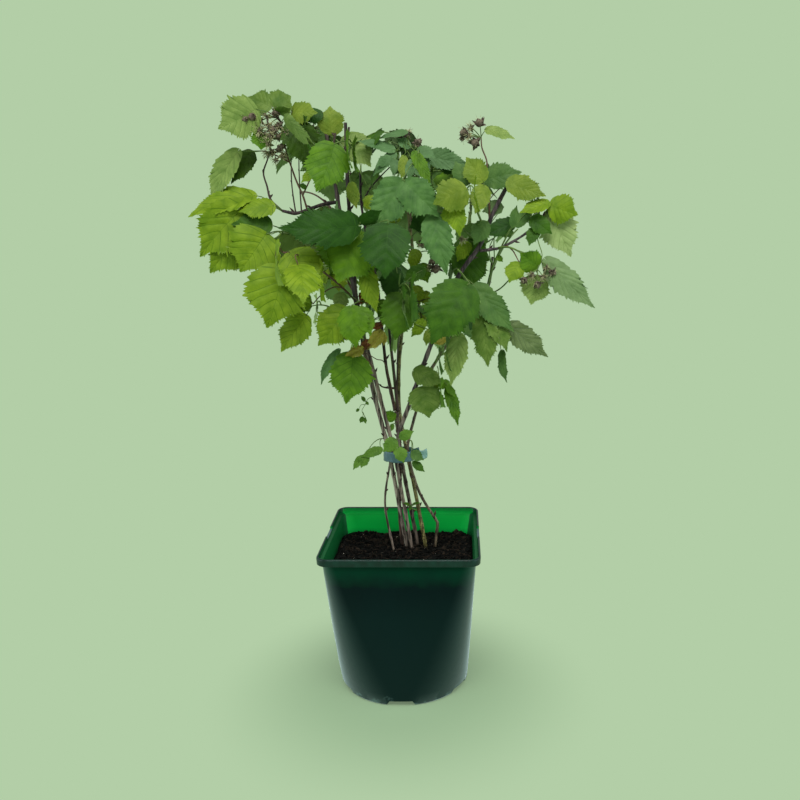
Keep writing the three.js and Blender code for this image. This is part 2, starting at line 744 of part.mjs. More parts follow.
// A shoot's stem: it leaves its limb's side, rises over its crest and falls to its tip.
function growStem(shoot) {
  const place = limbAt(shoot.limb, shoot.at);
  const tip = vector(...shoot.to);
  const sideways = tip.clone().sub(place.point).cross(vector(0, 0, 1)).normalize();
  for (let attempt = 0; attempt < SPACE.stemTries; attempt += 1) {
    const crest = place.point.clone().lerp(tip, 0.5).add(vector(0, 0, shoot.bow))
      .addScaledVector(sideways, eachSide(attempt) * SPACE.stemAside);
    const foot = footOn(place, crest.clone().sub(place.point).normalize(), SHOOT.footRadius);
    const stem = new THREE.QuadraticBezierCurve3(foot, crest, tip).getPoints(SHOOT.steps);
    const samples = pathSamples(stem, SPACE.stemStart);
    if (hasRoom(samples, SHOOT.footRadius, shoot.name)) {
      keepAll([foot, ...samples], SHOOT.footRadius, shoot.name);
      return { ...shoot, stem };
    }
  }
  throw new Error(`the stem of ${shoot.name} has no room`);
}

function growLeaf(shoot, order) {
  const { stem, turns, name } = shoot;
  const random = seeded(shoot.seed * 10 + order);
  const share = turns.length > 1 ? order / (turns.length - 1) : 1;
  const reach = mixed(SHOOT.firstLeaf, 1, share) * SHOOT.steps;
  const low = Math.min(Math.floor(reach), SHOOT.steps - 1);
  const node = stem[low].clone().lerp(stem[low + 1], reach - low);
  for (let attempt = 0; attempt < SPACE.leafTries; attempt += 1) {
    const heading = turns[order] + eachSide(attempt % SPACE.asides) * SPACE.aside;
    const blade = shoot.blade * (1 - SPACE.shrink * attempt);
    const chance = Array.from({ length: 6 }, () => random() * 2 - 1);
    const leaf = compoundLeaf(node, heading, shoot.droop, blade, chance);
    if (settleLeaf(leaf, name)) return [leaf];
  }
  return [];
}

function growFruit(shoot, order, random) {
  const turn = (360 / shoot.fruit) * order + random() * FRUIT.turnVary;
  const rise = mixed(FRUIT.lowest, FRUIT.highest, random());
  const length = FRUIT.stalk * (FRUIT.shortest + random() * FRUIT.stalkVary);
  const stalk = arc(shoot.stem.at(-1), turn, rise, 0, length, 1);
  const samples = pathSamples(stalk, SPACE.sample);
  const hasSpace = hasRoom(samples, PETIOLE.radius, shoot.name)
    && isFree(stalk.at(-1), FRUIT.radius, shoot.name);
  if (!hasSpace) return [];
  keepAll(samples, PETIOLE.radius, shoot.name);
  keep(stalk.at(-1), FRUIT.radius, shoot.name);
  return [stalk];
}

// The leaves in turn up a shoot's stem, and the fruit stalks at its tip.
function clothe(shoot) {
  const random = seeded(shoot.seed);
  const leaves = shoot.turns.flatMap((_, order) => growLeaf(shoot, order));
  const places = Array.from({ length: shoot.fruit }, (_, order) => order);
  const fruit = places.flatMap((order) => growFruit(shoot, order, random));
  return { ...shoot, leaves, fruit };
}

// A withered fruit's husk.
function huskSolid(point) {
  const husk = new THREE.OctahedronGeometry(FRUIT.radius, 0).scale(1, 1, FRUIT.flatness);
  return solid(husk.translate(point.x, point.y, point.z - FRUIT.radius * FRUIT.hang));
}

function shootSolid({ stem, leaves, fruit }) {
  const shapes = [twigSolid(stem, SHOOT.footRadius, SHOOT.tipRadius, SHOOT.sides)];
  shapes.push(...leaves.map(leafSolid));
  for (const stalk of fruit) {
    shapes.push(twigSolid(stalk, PETIOLE.radius, PETIOLE.radius, FRUIT.stalkSides), huskSolid(stalk.at(-1)));
  }
  return shapes.reduce((all, shape) => all.add(shape));
}

// ---- Assembly ----

const plant = new THREE.Group();

function place(name, geometry, material) {
  const mesh = new THREE.Mesh(geometry, material);
  mesh.name = name;
  plant.add(mesh);
}

place("pot", geometryOf(pot()), FINISH.pot);
place("potting_soil", geometryOf(soil()), FINISH.soil);
place("cane_tie", geometryOf(tie()), FINISH.tie);

growLimbs();
keepLimbs();
for (const [name, axis] of limbs) {
  place(name, loft(tube(axis, LIMB.sides, name.startsWith("cane") || name.startsWith("fork"))), FINISH.cane);
}
export const shoots = SHOOTS.map(growStem).map(clothe);
for (const shoot of shoots) place(shoot.name, geometryOf(shootSolid(shoot)), FINISH.leaf);

export default plant;
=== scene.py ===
import math

import bpy
import numpy as np
from mathutils import Euler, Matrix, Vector


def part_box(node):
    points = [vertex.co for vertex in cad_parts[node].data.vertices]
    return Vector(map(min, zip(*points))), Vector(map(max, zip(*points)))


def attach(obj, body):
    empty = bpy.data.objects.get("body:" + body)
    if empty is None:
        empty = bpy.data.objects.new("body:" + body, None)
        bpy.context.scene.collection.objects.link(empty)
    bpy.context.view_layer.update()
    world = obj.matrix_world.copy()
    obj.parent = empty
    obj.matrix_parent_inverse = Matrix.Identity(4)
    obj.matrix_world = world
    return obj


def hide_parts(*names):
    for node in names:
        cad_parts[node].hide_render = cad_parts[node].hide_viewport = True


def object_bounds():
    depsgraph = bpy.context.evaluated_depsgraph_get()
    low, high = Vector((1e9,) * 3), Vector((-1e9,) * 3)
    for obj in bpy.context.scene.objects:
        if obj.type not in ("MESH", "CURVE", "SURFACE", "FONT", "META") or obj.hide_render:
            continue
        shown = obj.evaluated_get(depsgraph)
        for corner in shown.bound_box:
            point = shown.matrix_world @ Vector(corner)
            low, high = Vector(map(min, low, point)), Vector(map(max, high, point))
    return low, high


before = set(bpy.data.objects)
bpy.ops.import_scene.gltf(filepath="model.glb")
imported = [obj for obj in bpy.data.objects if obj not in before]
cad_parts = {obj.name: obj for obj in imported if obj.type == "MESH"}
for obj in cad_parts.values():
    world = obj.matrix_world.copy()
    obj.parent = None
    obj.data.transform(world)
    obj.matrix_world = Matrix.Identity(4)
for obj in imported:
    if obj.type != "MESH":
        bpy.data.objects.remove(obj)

CAD_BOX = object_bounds()
MM = 0.001
CAD_LOW, CAD_HIGH = [np.array(corner) / MM for corner in CAD_BOX]

# A raspberry plant in a nursery pot. Lengths below are in millimetres, with +Z up and -Y the front.

# ---- The plant's sizes, as in the solids ----

CLEAR = 0.3
SOIL_TOP = 133.5
CANES = {
    "cane_left_tall": ([3.2, 1.9], [
        (1.6, 26, 0), (-14, 6, 243), (-32, 8, 322), (-45, 10, 399), (-61, 14, 500), (-72, 14, 573)]),
    "cane_left_front": ([2.9, 1.7], [
        (7.4, 20, 0), (-8, 1, 243), (-25, -6, 322), (-41, -14, 400), (-46, -20, 498),
        (-47, -22, 570)]),
    "cane_forked": ([2.5, 2.8], [
        (-4, 32, 0), (-6, 29, 172), (-3, 11, 243), (-6, 12, 276), (-6.4, 12.2, 288)]),
    "cane_green": ([3.1, 1.6], [
        (22.5, 23.5, 0), (11, 20, 202), (4, 13, 243), (-5, 24, 298), (-1, 32, 371), (11, 36, 433),
        (7, 38, 488), (2, 40, 540)]),
    "cane_right_tall": ([3.0, 2.1], [
        (13.5, 29.5, 0), (1, 8, 221), (-2, 3, 243), (-4, 1, 264), (11, -4, 306), (29, -8, 356),
        (55, -12, 422), (79, -14, 458), (91, -15, 487), (109, -16, 521)]),
    "cane_right_short": ([2.5, 1.4], [
        (32.3, 26, 0), (35, 24, 162), (16, 11, 202), (6, 6, 243), (8, 9, 266), (24, 12, 319),
        (35, 14, 340), (56, 18, 371), (75, 22, 398), (89, 25, 417), (93, 27, 446)]),
    "cane_old_stub": ([1.9, 1.3], [(-12, 16, 0), (-21, 21, 185), (-13, 14, 243), (-19, 17, 262)]),
}
ARMS = {
    "fork_arm_left": ([1.9, 1.2], [
        (-8.4, 13.6, 288.3), (-17, 18, 336), (-25, 28, 413), (-35, 34, 463), (-41, 38, 498),
        (-42, 42, 530)]),
    "fork_arm_right": ([1.6, 1.1], [(-4.3, 10.8, 288.3), (-8, 9, 330), (-12, 3, 380), (-10, -6, 420)]),
}
BOUGHS = {
    "bough_left": ("cane_left_tall", 500, [2.0, 1.6], [
        (-74, 1, 497), (-86, -8, 492), (-98, -14, 488), (-110, -18, 490)]),
    "bough_right": ("cane_right_tall", 452, [1.7, 1.0], [
        (90, -19, 454), (102, -22, 457), (125, -28, 471), (145, -32, 492)]),
}
LIMB = {"steps": 2, "flare": 1.25, "flare_height": 14}

# Each shoot leaves a limb and arches to its tip. The last word is the tint of its leaves. A shoot's
# solid has the same name, with foliage_ before it where it isn't a sprout.
SHOOTS = [
    ["right_low", "cane_right_short", 398, (58, -64, 436), 10, 56, 62, [300, 262], 0, 38, "forest"],
    ["left_low", "cane_left_tall", 402, (-104, -54, 452), 14, 54, 58, [240, 262], 0, 14, "lime"],
    ["front_dark", "cane_left_front", 448, (-52, -60, 492), 12, 52, 54, [200, 330, 262], 0, 24, "forest"],
    ["centre_dark", "fork_arm_right", 408, (-18, -56, 484), 10, 50, 56, [235, 300, 268], 0, 23, "forest"],
    ["centre_low", "fork_arm_right", 352, (4, -46, 432), 8, 48, 62, [270, 320], 0, 24, "meadow"],
    ["centre_front", "cane_left_front", 368, (-26, -40, 418), 8, 44, 58, [230, 290], 0, 30, "meadow"],
    ["low_left", "cane_left_front", 335, (-38, -32, 356), 6, 46, 66, [268], 0, 16, "spring"],
    ["left_middle", "cane_left_tall", 462, (-136, -46, 506), 14, 50, 54, [320, 265, 225], 0, 13, "lime"],
    ["upper_front", "cane_left_front", 532, (-36, -48, 554), 8, 46, 54, [215, 310, 258], 0, 22, "spring"],
    ["top_left", "bough_left", 0.98, (-112, -35, 580), 8, 46, 34, [340, 200, 262], 5, 11, "meadow"],
    ["right_yellow", "cane_right_tall", 470, (58, -52, 516), 10, 42, 55, [300, 220, 265], 0, 41, "fading"],
    ["right_hanging", "bough_right", 0.4, (122, -56, 446), 8, 44, 50, [258, 335], 4, 35, "sage"],
    ["right_low_tip", "cane_right_short", 378, (100, -26, 400), 8, 46, 52, [275, 335], 0, 47, "sage"],
    ["upper_right", "cane_green", 500, (22, -30, 544), 10, 48, 46, [235, 310, 268], 1, 31, "spring"],
    ["left_upper", "bough_left", 0.72, (-118, -10, 536), 14, 44, 50, [262, 205], 0, 12, "meadow"],
    ["left_outer", "bough_left", 0.45, (-142, -20, 520), 8, 48, 44, [185, 235], 0, 8, "lime"],
    ["left_lower", "cane_left_tall", 430, (-116, -10, 470), 16, 48, 54, [170, 235], 0, 18, "lime"],
    ["left_yellow", "cane_left_front", 374, (-72, -40, 402), 10, 42, 55, [285, 235], 0, 15, "lime"],
    ["top_left_inner", "cane_left_tall", 520, (-90, -18, 572), 8, 44, 50, [60, 290], 1, 9, "meadow"],
    ["right_tip", "cane_right_tall", 512, (72, -22, 532), 6, 42, 36, [240, 330], 0, 35, "meadow"],
    ["fruit_spray", "cane_right_tall", 478, (80, -14, 562), 2, 23, 25, [350], 5, 33, "spring"],
    ["right_far", "bough_right", 0.98, (128, -38, 500), 4, 42, 55, [230, 320], 0, 34, "sage"],
    ["right_middle", "cane_right_short", 440, (54, -34, 476), 12, 44, 58, [200, 320, 260], 2, 36, "forest"],
    ["low_right", "cane_right_short", 338, (50, -24, 370), 4, 38, 62, [292], 0, 46, "meadow"],
    ["low_small", "cane_right_short", 305, (42, -14, 326), 4, 34, 60, [235, 330], 0, 46, "spring"],
    ["top_centre", "cane_green", 525, (0, 4, 566), 8, 44, 38, [230, 320, 170, 60], 2, 25, "sage"],
    ["upper_back", "cane_left_tall", 545, (-60, 40, 574), 8, 46, 35, [20, 90, 150], 0, 20, "meadow"],
    ["centre_back", "cane_green", 470, (8, 78, 508), 14, 50, 45, [60, 150, 100], 0, 26, "meadow"],
    ["back_top", "fork_arm_left", 512, (-46, 84, 542), 12, 48, 42, [60, 170, 110], 0, 27, "spring"],
    ["back_middle", "fork_arm_left", 425, (-40, 78, 462), 14, 50, 48, [50, 160, 100], 0, 28, "forest"],
    ["back_low", "cane_green", 365, (6, 74, 398), 12, 46, 52, [60, 130], 0, 29, "meadow"],
    ["left_back", "cane_left_tall", 478, (-104, 56, 512), 16, 48, 45, [60, 200, 140], 0, 17, "lime"],
    ["left_back_low", "cane_left_tall", 410, (-88, 62, 442), 14, 48, 50, [190, 80, 140], 0, 19, "spring"],
    ["right_back", "cane_right_short", 430, (120, 52, 474), 10, 48, 45, [350, 80, 30], 0, 37, "sage"],
    ["right_back_high", "cane_green", 520, (56, 66, 530), 14, 48, 42, [350, 100, 50], 0, 42, "meadow"],
    ["low_back", "cane_right_short", 362, (50, 70, 400), 12, 44, 50, [20, 100, 60], 0, 44, "forest"],
    ["sprout_left", "cane_old_stub", 256, (-28, 6, 256), 4, 20, 40, [260, 200], 0, 51, "young"],
    ["sprout_middle", "cane_left_front", 258, (-8, -20, 268), 3, 18, 45, [240, 300], 0, 53, "young"],
    ["sprout_right", "cane_right_short", 257, (22, -10, 262), 4, 17, 50, [330, 270], 0, 54, "young"],
]
SHOOT_WORDS = ["name", "limb", "at", "to", "bow", "blade", "droop", "turns", "fruit", "seed", "tint"]
SHOOT = {"steps": 4, "fine_steps": 14, "foot": 1.5, "first_leaf": 0.45}
PETIOLE = {"of_blade": 0.62, "vary": 0.35, "rise": 30, "sag": 22, "radius": 0.85, "steps": 2}
STALK = 0.34
LEAF = {
    "droop_vary": 16, "size_vary": 0.1, "turn_vary": 14, "roll": 18, "side_turn": 76,
    "side_length": 0.76, "side_fall": 0.25, "half_width": 0.39, "widest": 2.31, "foot_power": 0.45,
    "tip_power": 0.85, "fold": 0.18, "curl": 0.2,
}
FRUIT = {"stalk": 14, "shortest": 0.8, "vary": 0.5, "turn_vary": 40, "lowest": -60, "highest": 30,
         "radius": 4.4}
SPACE = {"sample": 3.5, "blades": 5.8, "own_blades": 3.6, "limb": 1.6, "reach": 12, "leaf_tries": 36,
         "asides": 7, "aside": 11, "shrink": 0.013, "stem_tries": 9, "stem_aside": 5, "stem_start": 6}


# ---- Small tools ----

def vec(*xyz):
    return np.array(xyz, float)


def unit(v):
    return v / math.sqrt(v @ v)


def mixed(a, b, share):
    return a + (b - a) * share


def along(heading, rise):
    h, r = math.radians(heading), math.radians(rise)
    return vec(math.cos(h) * math.cos(r), math.sin(h) * math.cos(r), math.sin(r))


def turned(v, axis, degrees):
    angle = math.radians(degrees)
    return (v * math.cos(angle) + np.cross(axis, v) * math.sin(angle)
            + axis * (axis @ v) * (1 - math.cos(angle)))


def seeded(seed):
    """A repeatable source of numbers from 0 to 1."""
    state = (seed * 2654435761) % 4294967296

    def draw():
        nonlocal state
        state = (state * 1664525 + 1013904223) % 4294967296
        return state / 4294967296

    draw()
    return draw


def each_side(n):
    """0, 1, -1, 2, -2 and so on."""
    return (n + 1) // 2 * (1 if n % 2 else -1)


# ---- The limbs' axes ----

def curve_point(points, share):
    """A point of the smooth curve through the points."""
    p = (len(points) - 1) * share
    i = int(math.floor(p))
    w = p - i
    if i >= len(points) - 1:
        i, w = len(points) - 2, 1.0
    x1, x2 = points[i], points[i + 1]
    x0 = points[i - 1] if i > 0 else 2 * points[0] - points[1]
    x3 = points[i + 2] if i + 2 < len(points) else 2 * points[-1] - points[-2]
    t0, t1 = 0.5 * (x2 - x0), 0.5 * (x3 - x1)
    return x1 + t0 * w + (3 * (x2 - x1) - 2 * t0 - t1) * w * w + (2 * (x1 - x2) + t0 + t1) * w ** 3


def axis_of(points, radii, has_flare, steps_per_span=LIMB["steps"]):
    points = [np.array(p, float) for p in points]
    steps = (len(points) - 1) * steps_per_span
    axis = []
    for step in range(steps + 1):
        share = step / steps
        point = curve_point(points, share)
        radius = mixed(radii[0], radii[1], share)
        if has_flare:
            height = point[2] - points[0][2]
            radius *= mixed(LIMB["flare"], 1, min(height / LIMB["flare_height"], 1))
        ahead, behind = min(share + 1e-4, 1), max(share - 1e-4, 0)
        tangent = unit(curve_point(points, ahead) - curve_point(points, behind))
        axis.append((point, tangent, radius))
    return axis


limbs, fine_limbs = {}, {}
# The kink low in the short cane, in place of its second point.
BENDS = {"cane_right_short": [(34.6, 24.6, 152), (35.3, 24.2, 161), (33.2, 22.6, 166.5)]}
# The bark is drawn a little inside the smooth solid, slimmest where a cane comes out of the soil.
SLIM = {"low": 0.66, "high": 0.9, "from": 220, "over": 120}
BARK = {"step": 2.2, "fewest": 4}


def limb_at(name, at):
    """A place on a limb: at a height, or for 1 and less at that share of its steps."""
    axis = limbs[name]
    last = len(axis) - 1
    if at > 1:
        above = next(i for i, (point, _, _) in enumerate(axis) if point[2] >= at)
    else:
        above = math.ceil(at * last)
    low, high = axis[above - 1], axis[above]
    share = (at - low[0][2]) / (high[0][2] - low[0][2]) if at > 1 else at * last - above + 1
    return (mixed(low[0], high[0], share), unit(mixed(low[1], high[1], share)),
            mixed(low[2], high[2], share))


def foot_on(place, direction, radius):
    """Where a twig of this radius starts, clear of its limb's side."""
    slant = abs(direction @ place[1])
    offset = (place[2] + CLEAR + radius * slant) / math.sqrt(1 - slant * slant)
    return place[0] + direction * offset


def slimness(height):
    return mixed(SLIM["low"], SLIM["high"], min(max((height - SLIM["from"]) / SLIM["over"], 0), 1))


def grow_limb(name, points, radii, has_flare):
    limbs[name] = axis_of(points, radii, has_flare)
    bent = [*points[:1], *BENDS[name], *points[2:]] if name in BENDS else points
    span = sum(math.dist(a, b) for a, b in zip(bent, bent[1:])) / (len(bent) - 1)
    steps = max(BARK["fewest"], round(span / BARK["step"]))
    fine_limbs[name] = [(point, tangent, radius * slimness(point[2]))
                        for point, tangent, radius in axis_of(bent, radii, False, steps)]


for name, (radii, through) in CANES.items():
    x, y, _ = through[0]
    grow_limb(name, [(x, y, SOIL_TOP + CLEAR), *through[1:]], radii, True)
for name, (radii, through) in ARMS.items():
    grow_limb(name, through, radii, False)
for name, (on, height, radii, through) in BOUGHS.items():
    place = limb_at(on, height)
    direction = unit(vec(*through[0]) - place[0])
    grow_limb(name, [foot_on(place, direction, radii[0]), *through], radii, False)


# ---- Room between shoots ----

class Room:
    """Sample points of all that has grown: place, radius (0 for a blade) and owner."""

    def __init__(self):
        self.kept = np.empty((0, 5))
        self.owners = {}

    def number(self, owner):
        return self.owners.setdefault(owner, len(self.owners))

    def keep(self, samples, radius, owner):
        samples = np.reshape(samples, (-1, 3))
        tail = np.tile([radius, self.number(owner)], (len(samples), 1))
        self.kept = np.vstack([self.kept, np.hstack([samples, tail])])

    def is_free(self, samples, radius, owner, ease=1.0):
        samples = np.reshape(samples, (-1, 3))
        low, high = samples.min(0) - SPACE["reach"], samples.max(0) + SPACE["reach"]
        places = self.kept[:, :3]
        near = self.kept[((places > low) & (places < high)).all(1)]
        near = near[(near[:, 4] != self.number(owner)) | (near[:, 3] == 0)]
        if not len(near):
            return True
        own = near[:, 4] == self.number(owner)
        blades = np.where(own, SPACE["own_blades"], SPACE["blades"])
        others = np.maximum(near[:, 3] + radius + SPACE["limb"], SPACE["sample"])
        least = np.where(near[:, 3] + radius == 0, blades, others) * ease
        gaps = ((samples[:, None] - near[None, :, :3]) ** 2).sum(2)
        return not (gaps < least ** 2).any()


room = Room()


def path_samples(path, start):
    samples, walked = [], 0
    for a, b in zip(path, path[1:]):
        span = math.dist(a, b)
        parts = math.ceil(span / SPACE["sample"])
        for part in range(1, parts + 1):
            if walked + span * part / parts >= start:
                samples.append(mixed(a, b, part / parts))
        walked += span
    return samples


for name, axis in limbs.items():
    for (a, _, radius), (b, _, _) in zip(axis, axis[1:]):
        parts = math.ceil(math.dist(a, b) / SPACE["sample"])
        room.keep([mixed(a, b, part / parts) for part in range(parts)], radius, name)


# ---- The growth of shoots ----

def half_width(t):
    """Half the width of a leaflet, as a share of its length."""
    t = np.clip(t, 0, 1)
    return (LEAF["half_width"] * LEAF["widest"]
            * t ** LEAF["foot_power"] * (1 - t) ** LEAF["tip_power"])


def leaflet_samples(leaflet):
    foot, forward, normal, length = leaflet
    across = np.cross(normal, forward)
    rows = math.ceil(length / SPACE["sample"])
    samples = []
    for row in range(1, rows + 1):
        t = row / rows
        width = float(half_width(t)) * length
        columns = math.ceil(width / SPACE["sample"])
        side = np.arange(-columns, columns + 1) / columns if columns else np.zeros(1)
        lift = -LEAF["curl"] * length * t * t + np.abs(side) * width * LEAF["fold"]
        samples.append(foot + forward * length * t + lift[:, None] * normal
                       + (side * width)[:, None] * across)
    return np.vstack(samples)


def arc(start, heading, rise, bend, length, steps):
    path = [start]
    for step in range(steps):
        lift = rise + bend * (step + 0.5) / steps
        path.append(path[-1] + along(heading, lift) * length / steps)
    return path


def compound_leaf(node, heading, droop, blade, chance):
    """One compound leaf: its petiole's path and its leaflets, the end one first."""
    turn = heading + chance[0] * LEAF["turn_vary"]
    length = blade * (PETIOLE["of_blade"] + chance[1] * PETIOLE["vary"])
    rise = PETIOLE["rise"] * (1 + chance[2] / 2)
    size = blade * (1 + chance[5] * LEAF["size_vary"])
    petiole = arc(node, turn, rise, -PETIOLE["sag"] * 2, length, PETIOLE["steps"])
    joint = petiole[-1]
    forward = along(turn, -droop - chance[3] * LEAF["droop_vary"])
    level = along(turn + 90, 0)
    normal = unit(turned(np.cross(forward, level), forward, chance[4] * LEAF["roll"]))
    across = np.cross(normal, forward)
    leaflets = [(joint + forward * size * STALK, forward, normal, size)]
    for side in (-1, 1):
        out = (forward * math.cos(math.radians(LEAF["side_turn"]))
               + across * side * math.sin(math.radians(LEAF["side_turn"]))
               + vec(0, 0, -LEAF["side_fall"]))
        out = unit(out)
        top = unit(normal - out * (normal @ out))
        leaflets.append((joint, out, top, size * LEAF["side_length"]))
    return petiole, leaflets


def settle_leaf(leaf, owner, ease=1.0):
    petiole, leaflets = leaf
    stalk = path_samples([*petiole, leaflets[0][0]], PETIOLE["radius"] * 2)
    blades = np.vstack([leaflet_samples(leaflet) for leaflet in leaflets])
    if not (room.is_free(stalk, PETIOLE["radius"], owner, ease) and room.is_free(blades, 0, owner, ease)):
        return False
    room.keep(stalk, PETIOLE["radius"], owner)
    room.keep(blades, 0, owner)
    return True


def bezier(a, b, c, steps):
    return [a * (1 - t) ** 2 + b * 2 * t * (1 - t) + c * t * t for t in np.arange(steps + 1) / steps]


def grow_stem(shoot):
    place = limb_at(shoot["limb"], shoot["at"])
    tip = vec(*shoot["to"])
    sideways = unit(np.cross(tip - place[0], vec(0, 0, 1)))
    for attempt in range(SPACE["stem_tries"]):
        crest = (mixed(place[0], tip, 0.5) + vec(0, 0, shoot["bow"])
                 + sideways * each_side(attempt) * SPACE["stem_aside"])
        foot = foot_on(place, unit(crest - place[0]), SHOOT["foot"])
        stem = bezier(foot, crest, tip, SHOOT["steps"])
        samples = path_samples(stem, SPACE["stem_start"])
        if room.is_free(samples, SHOOT["foot"], shoot["name"]):
            room.keep([foot, *samples], SHOOT["foot"], shoot["name"])
            fine = [place[0], *bezier(foot, crest, tip, SHOOT["fine_steps"])]
            return {**shoot, "stem": stem, "fine": fine}
    raise RuntimeError(shoot["name"])


def grow_leaf(shoot, order):
    draw = seeded(shoot["seed"] * 10 + order)
    turns, stem = shoot["turns"], shoot["stem"]
    share = order / (len(turns) - 1) if len(turns) > 1 else 1
    reach = mixed(SHOOT["first_leaf"], 1, share) * SHOOT["steps"]
    low = min(int(reach), SHOOT["steps"] - 1)
    node = mixed(stem[low], stem[low + 1], reach - low)
    for attempt in range(SPACE["leaf_tries"]):
        heading = turns[order] + each_side(attempt % SPACE["asides"]) * SPACE["aside"]
        blade = shoot["blade"] * (1 - SPACE["shrink"] * attempt)
        chance = [draw() * 2 - 1 for _ in range(6)]
        leaf = compound_leaf(node, heading, shoot["droop"], blade, chance)
        if settle_leaf(leaf, shoot["name"]):
            return [leaf]
    return []


def grow_fruit(shoot, order, draw):
    turn = 360 / shoot["fruit"] * order + draw() * FRUIT["turn_vary"]
    rise = mixed(FRUIT["lowest"], FRUIT["highest"], draw())
    length = FRUIT["stalk"] * (FRUIT["shortest"] + draw() * FRUIT["vary"])
    stalk = arc(shoot["stem"][-1], turn, rise, 0, length, 1)
    samples = path_samples(stalk, SPACE["sample"])
    if not (room.is_free(samples, PETIOLE["radius"], shoot["name"])
            and room.is_free([stalk[-1]], FRUIT["radius"], shoot["name"])):
        return []
    room.keep(samples, PETIOLE["radius"], shoot["name"])
    room.keep([stalk[-1]], FRUIT["radius"], shoot["name"])
    return [stalk]


def clothe(shoot):
    draw = seeded(shoot["seed"])
    leaves = [leaf for order in range(len(shoot["turns"])) for leaf in grow_leaf(shoot, order)]
    fruit = [stalk for order in range(shoot["fruit"]) for stalk in grow_fruit(shoot, order, draw)]
    return {**shoot, "leaves": leaves, "fruit": fruit}


shoots = [clothe(shoot) for shoot in [grow_stem(dict(zip(SHOOT_WORDS, row))) for row in SHOOTS]]


# ---- The front leaves as they hang ----

# The camera stands at EYE and looks down by TILT. A view point (u, v) is a place in what it sees, in
# 1/800 of the width of the view from the top left; VIEW gives these steps for a unit of slope.
EYE = vec(60.72, -809.65, 461.7)
TILT = math.radians(-11.13)
VIEW = {"scale": 807.28, "across": 461, "down": 400}

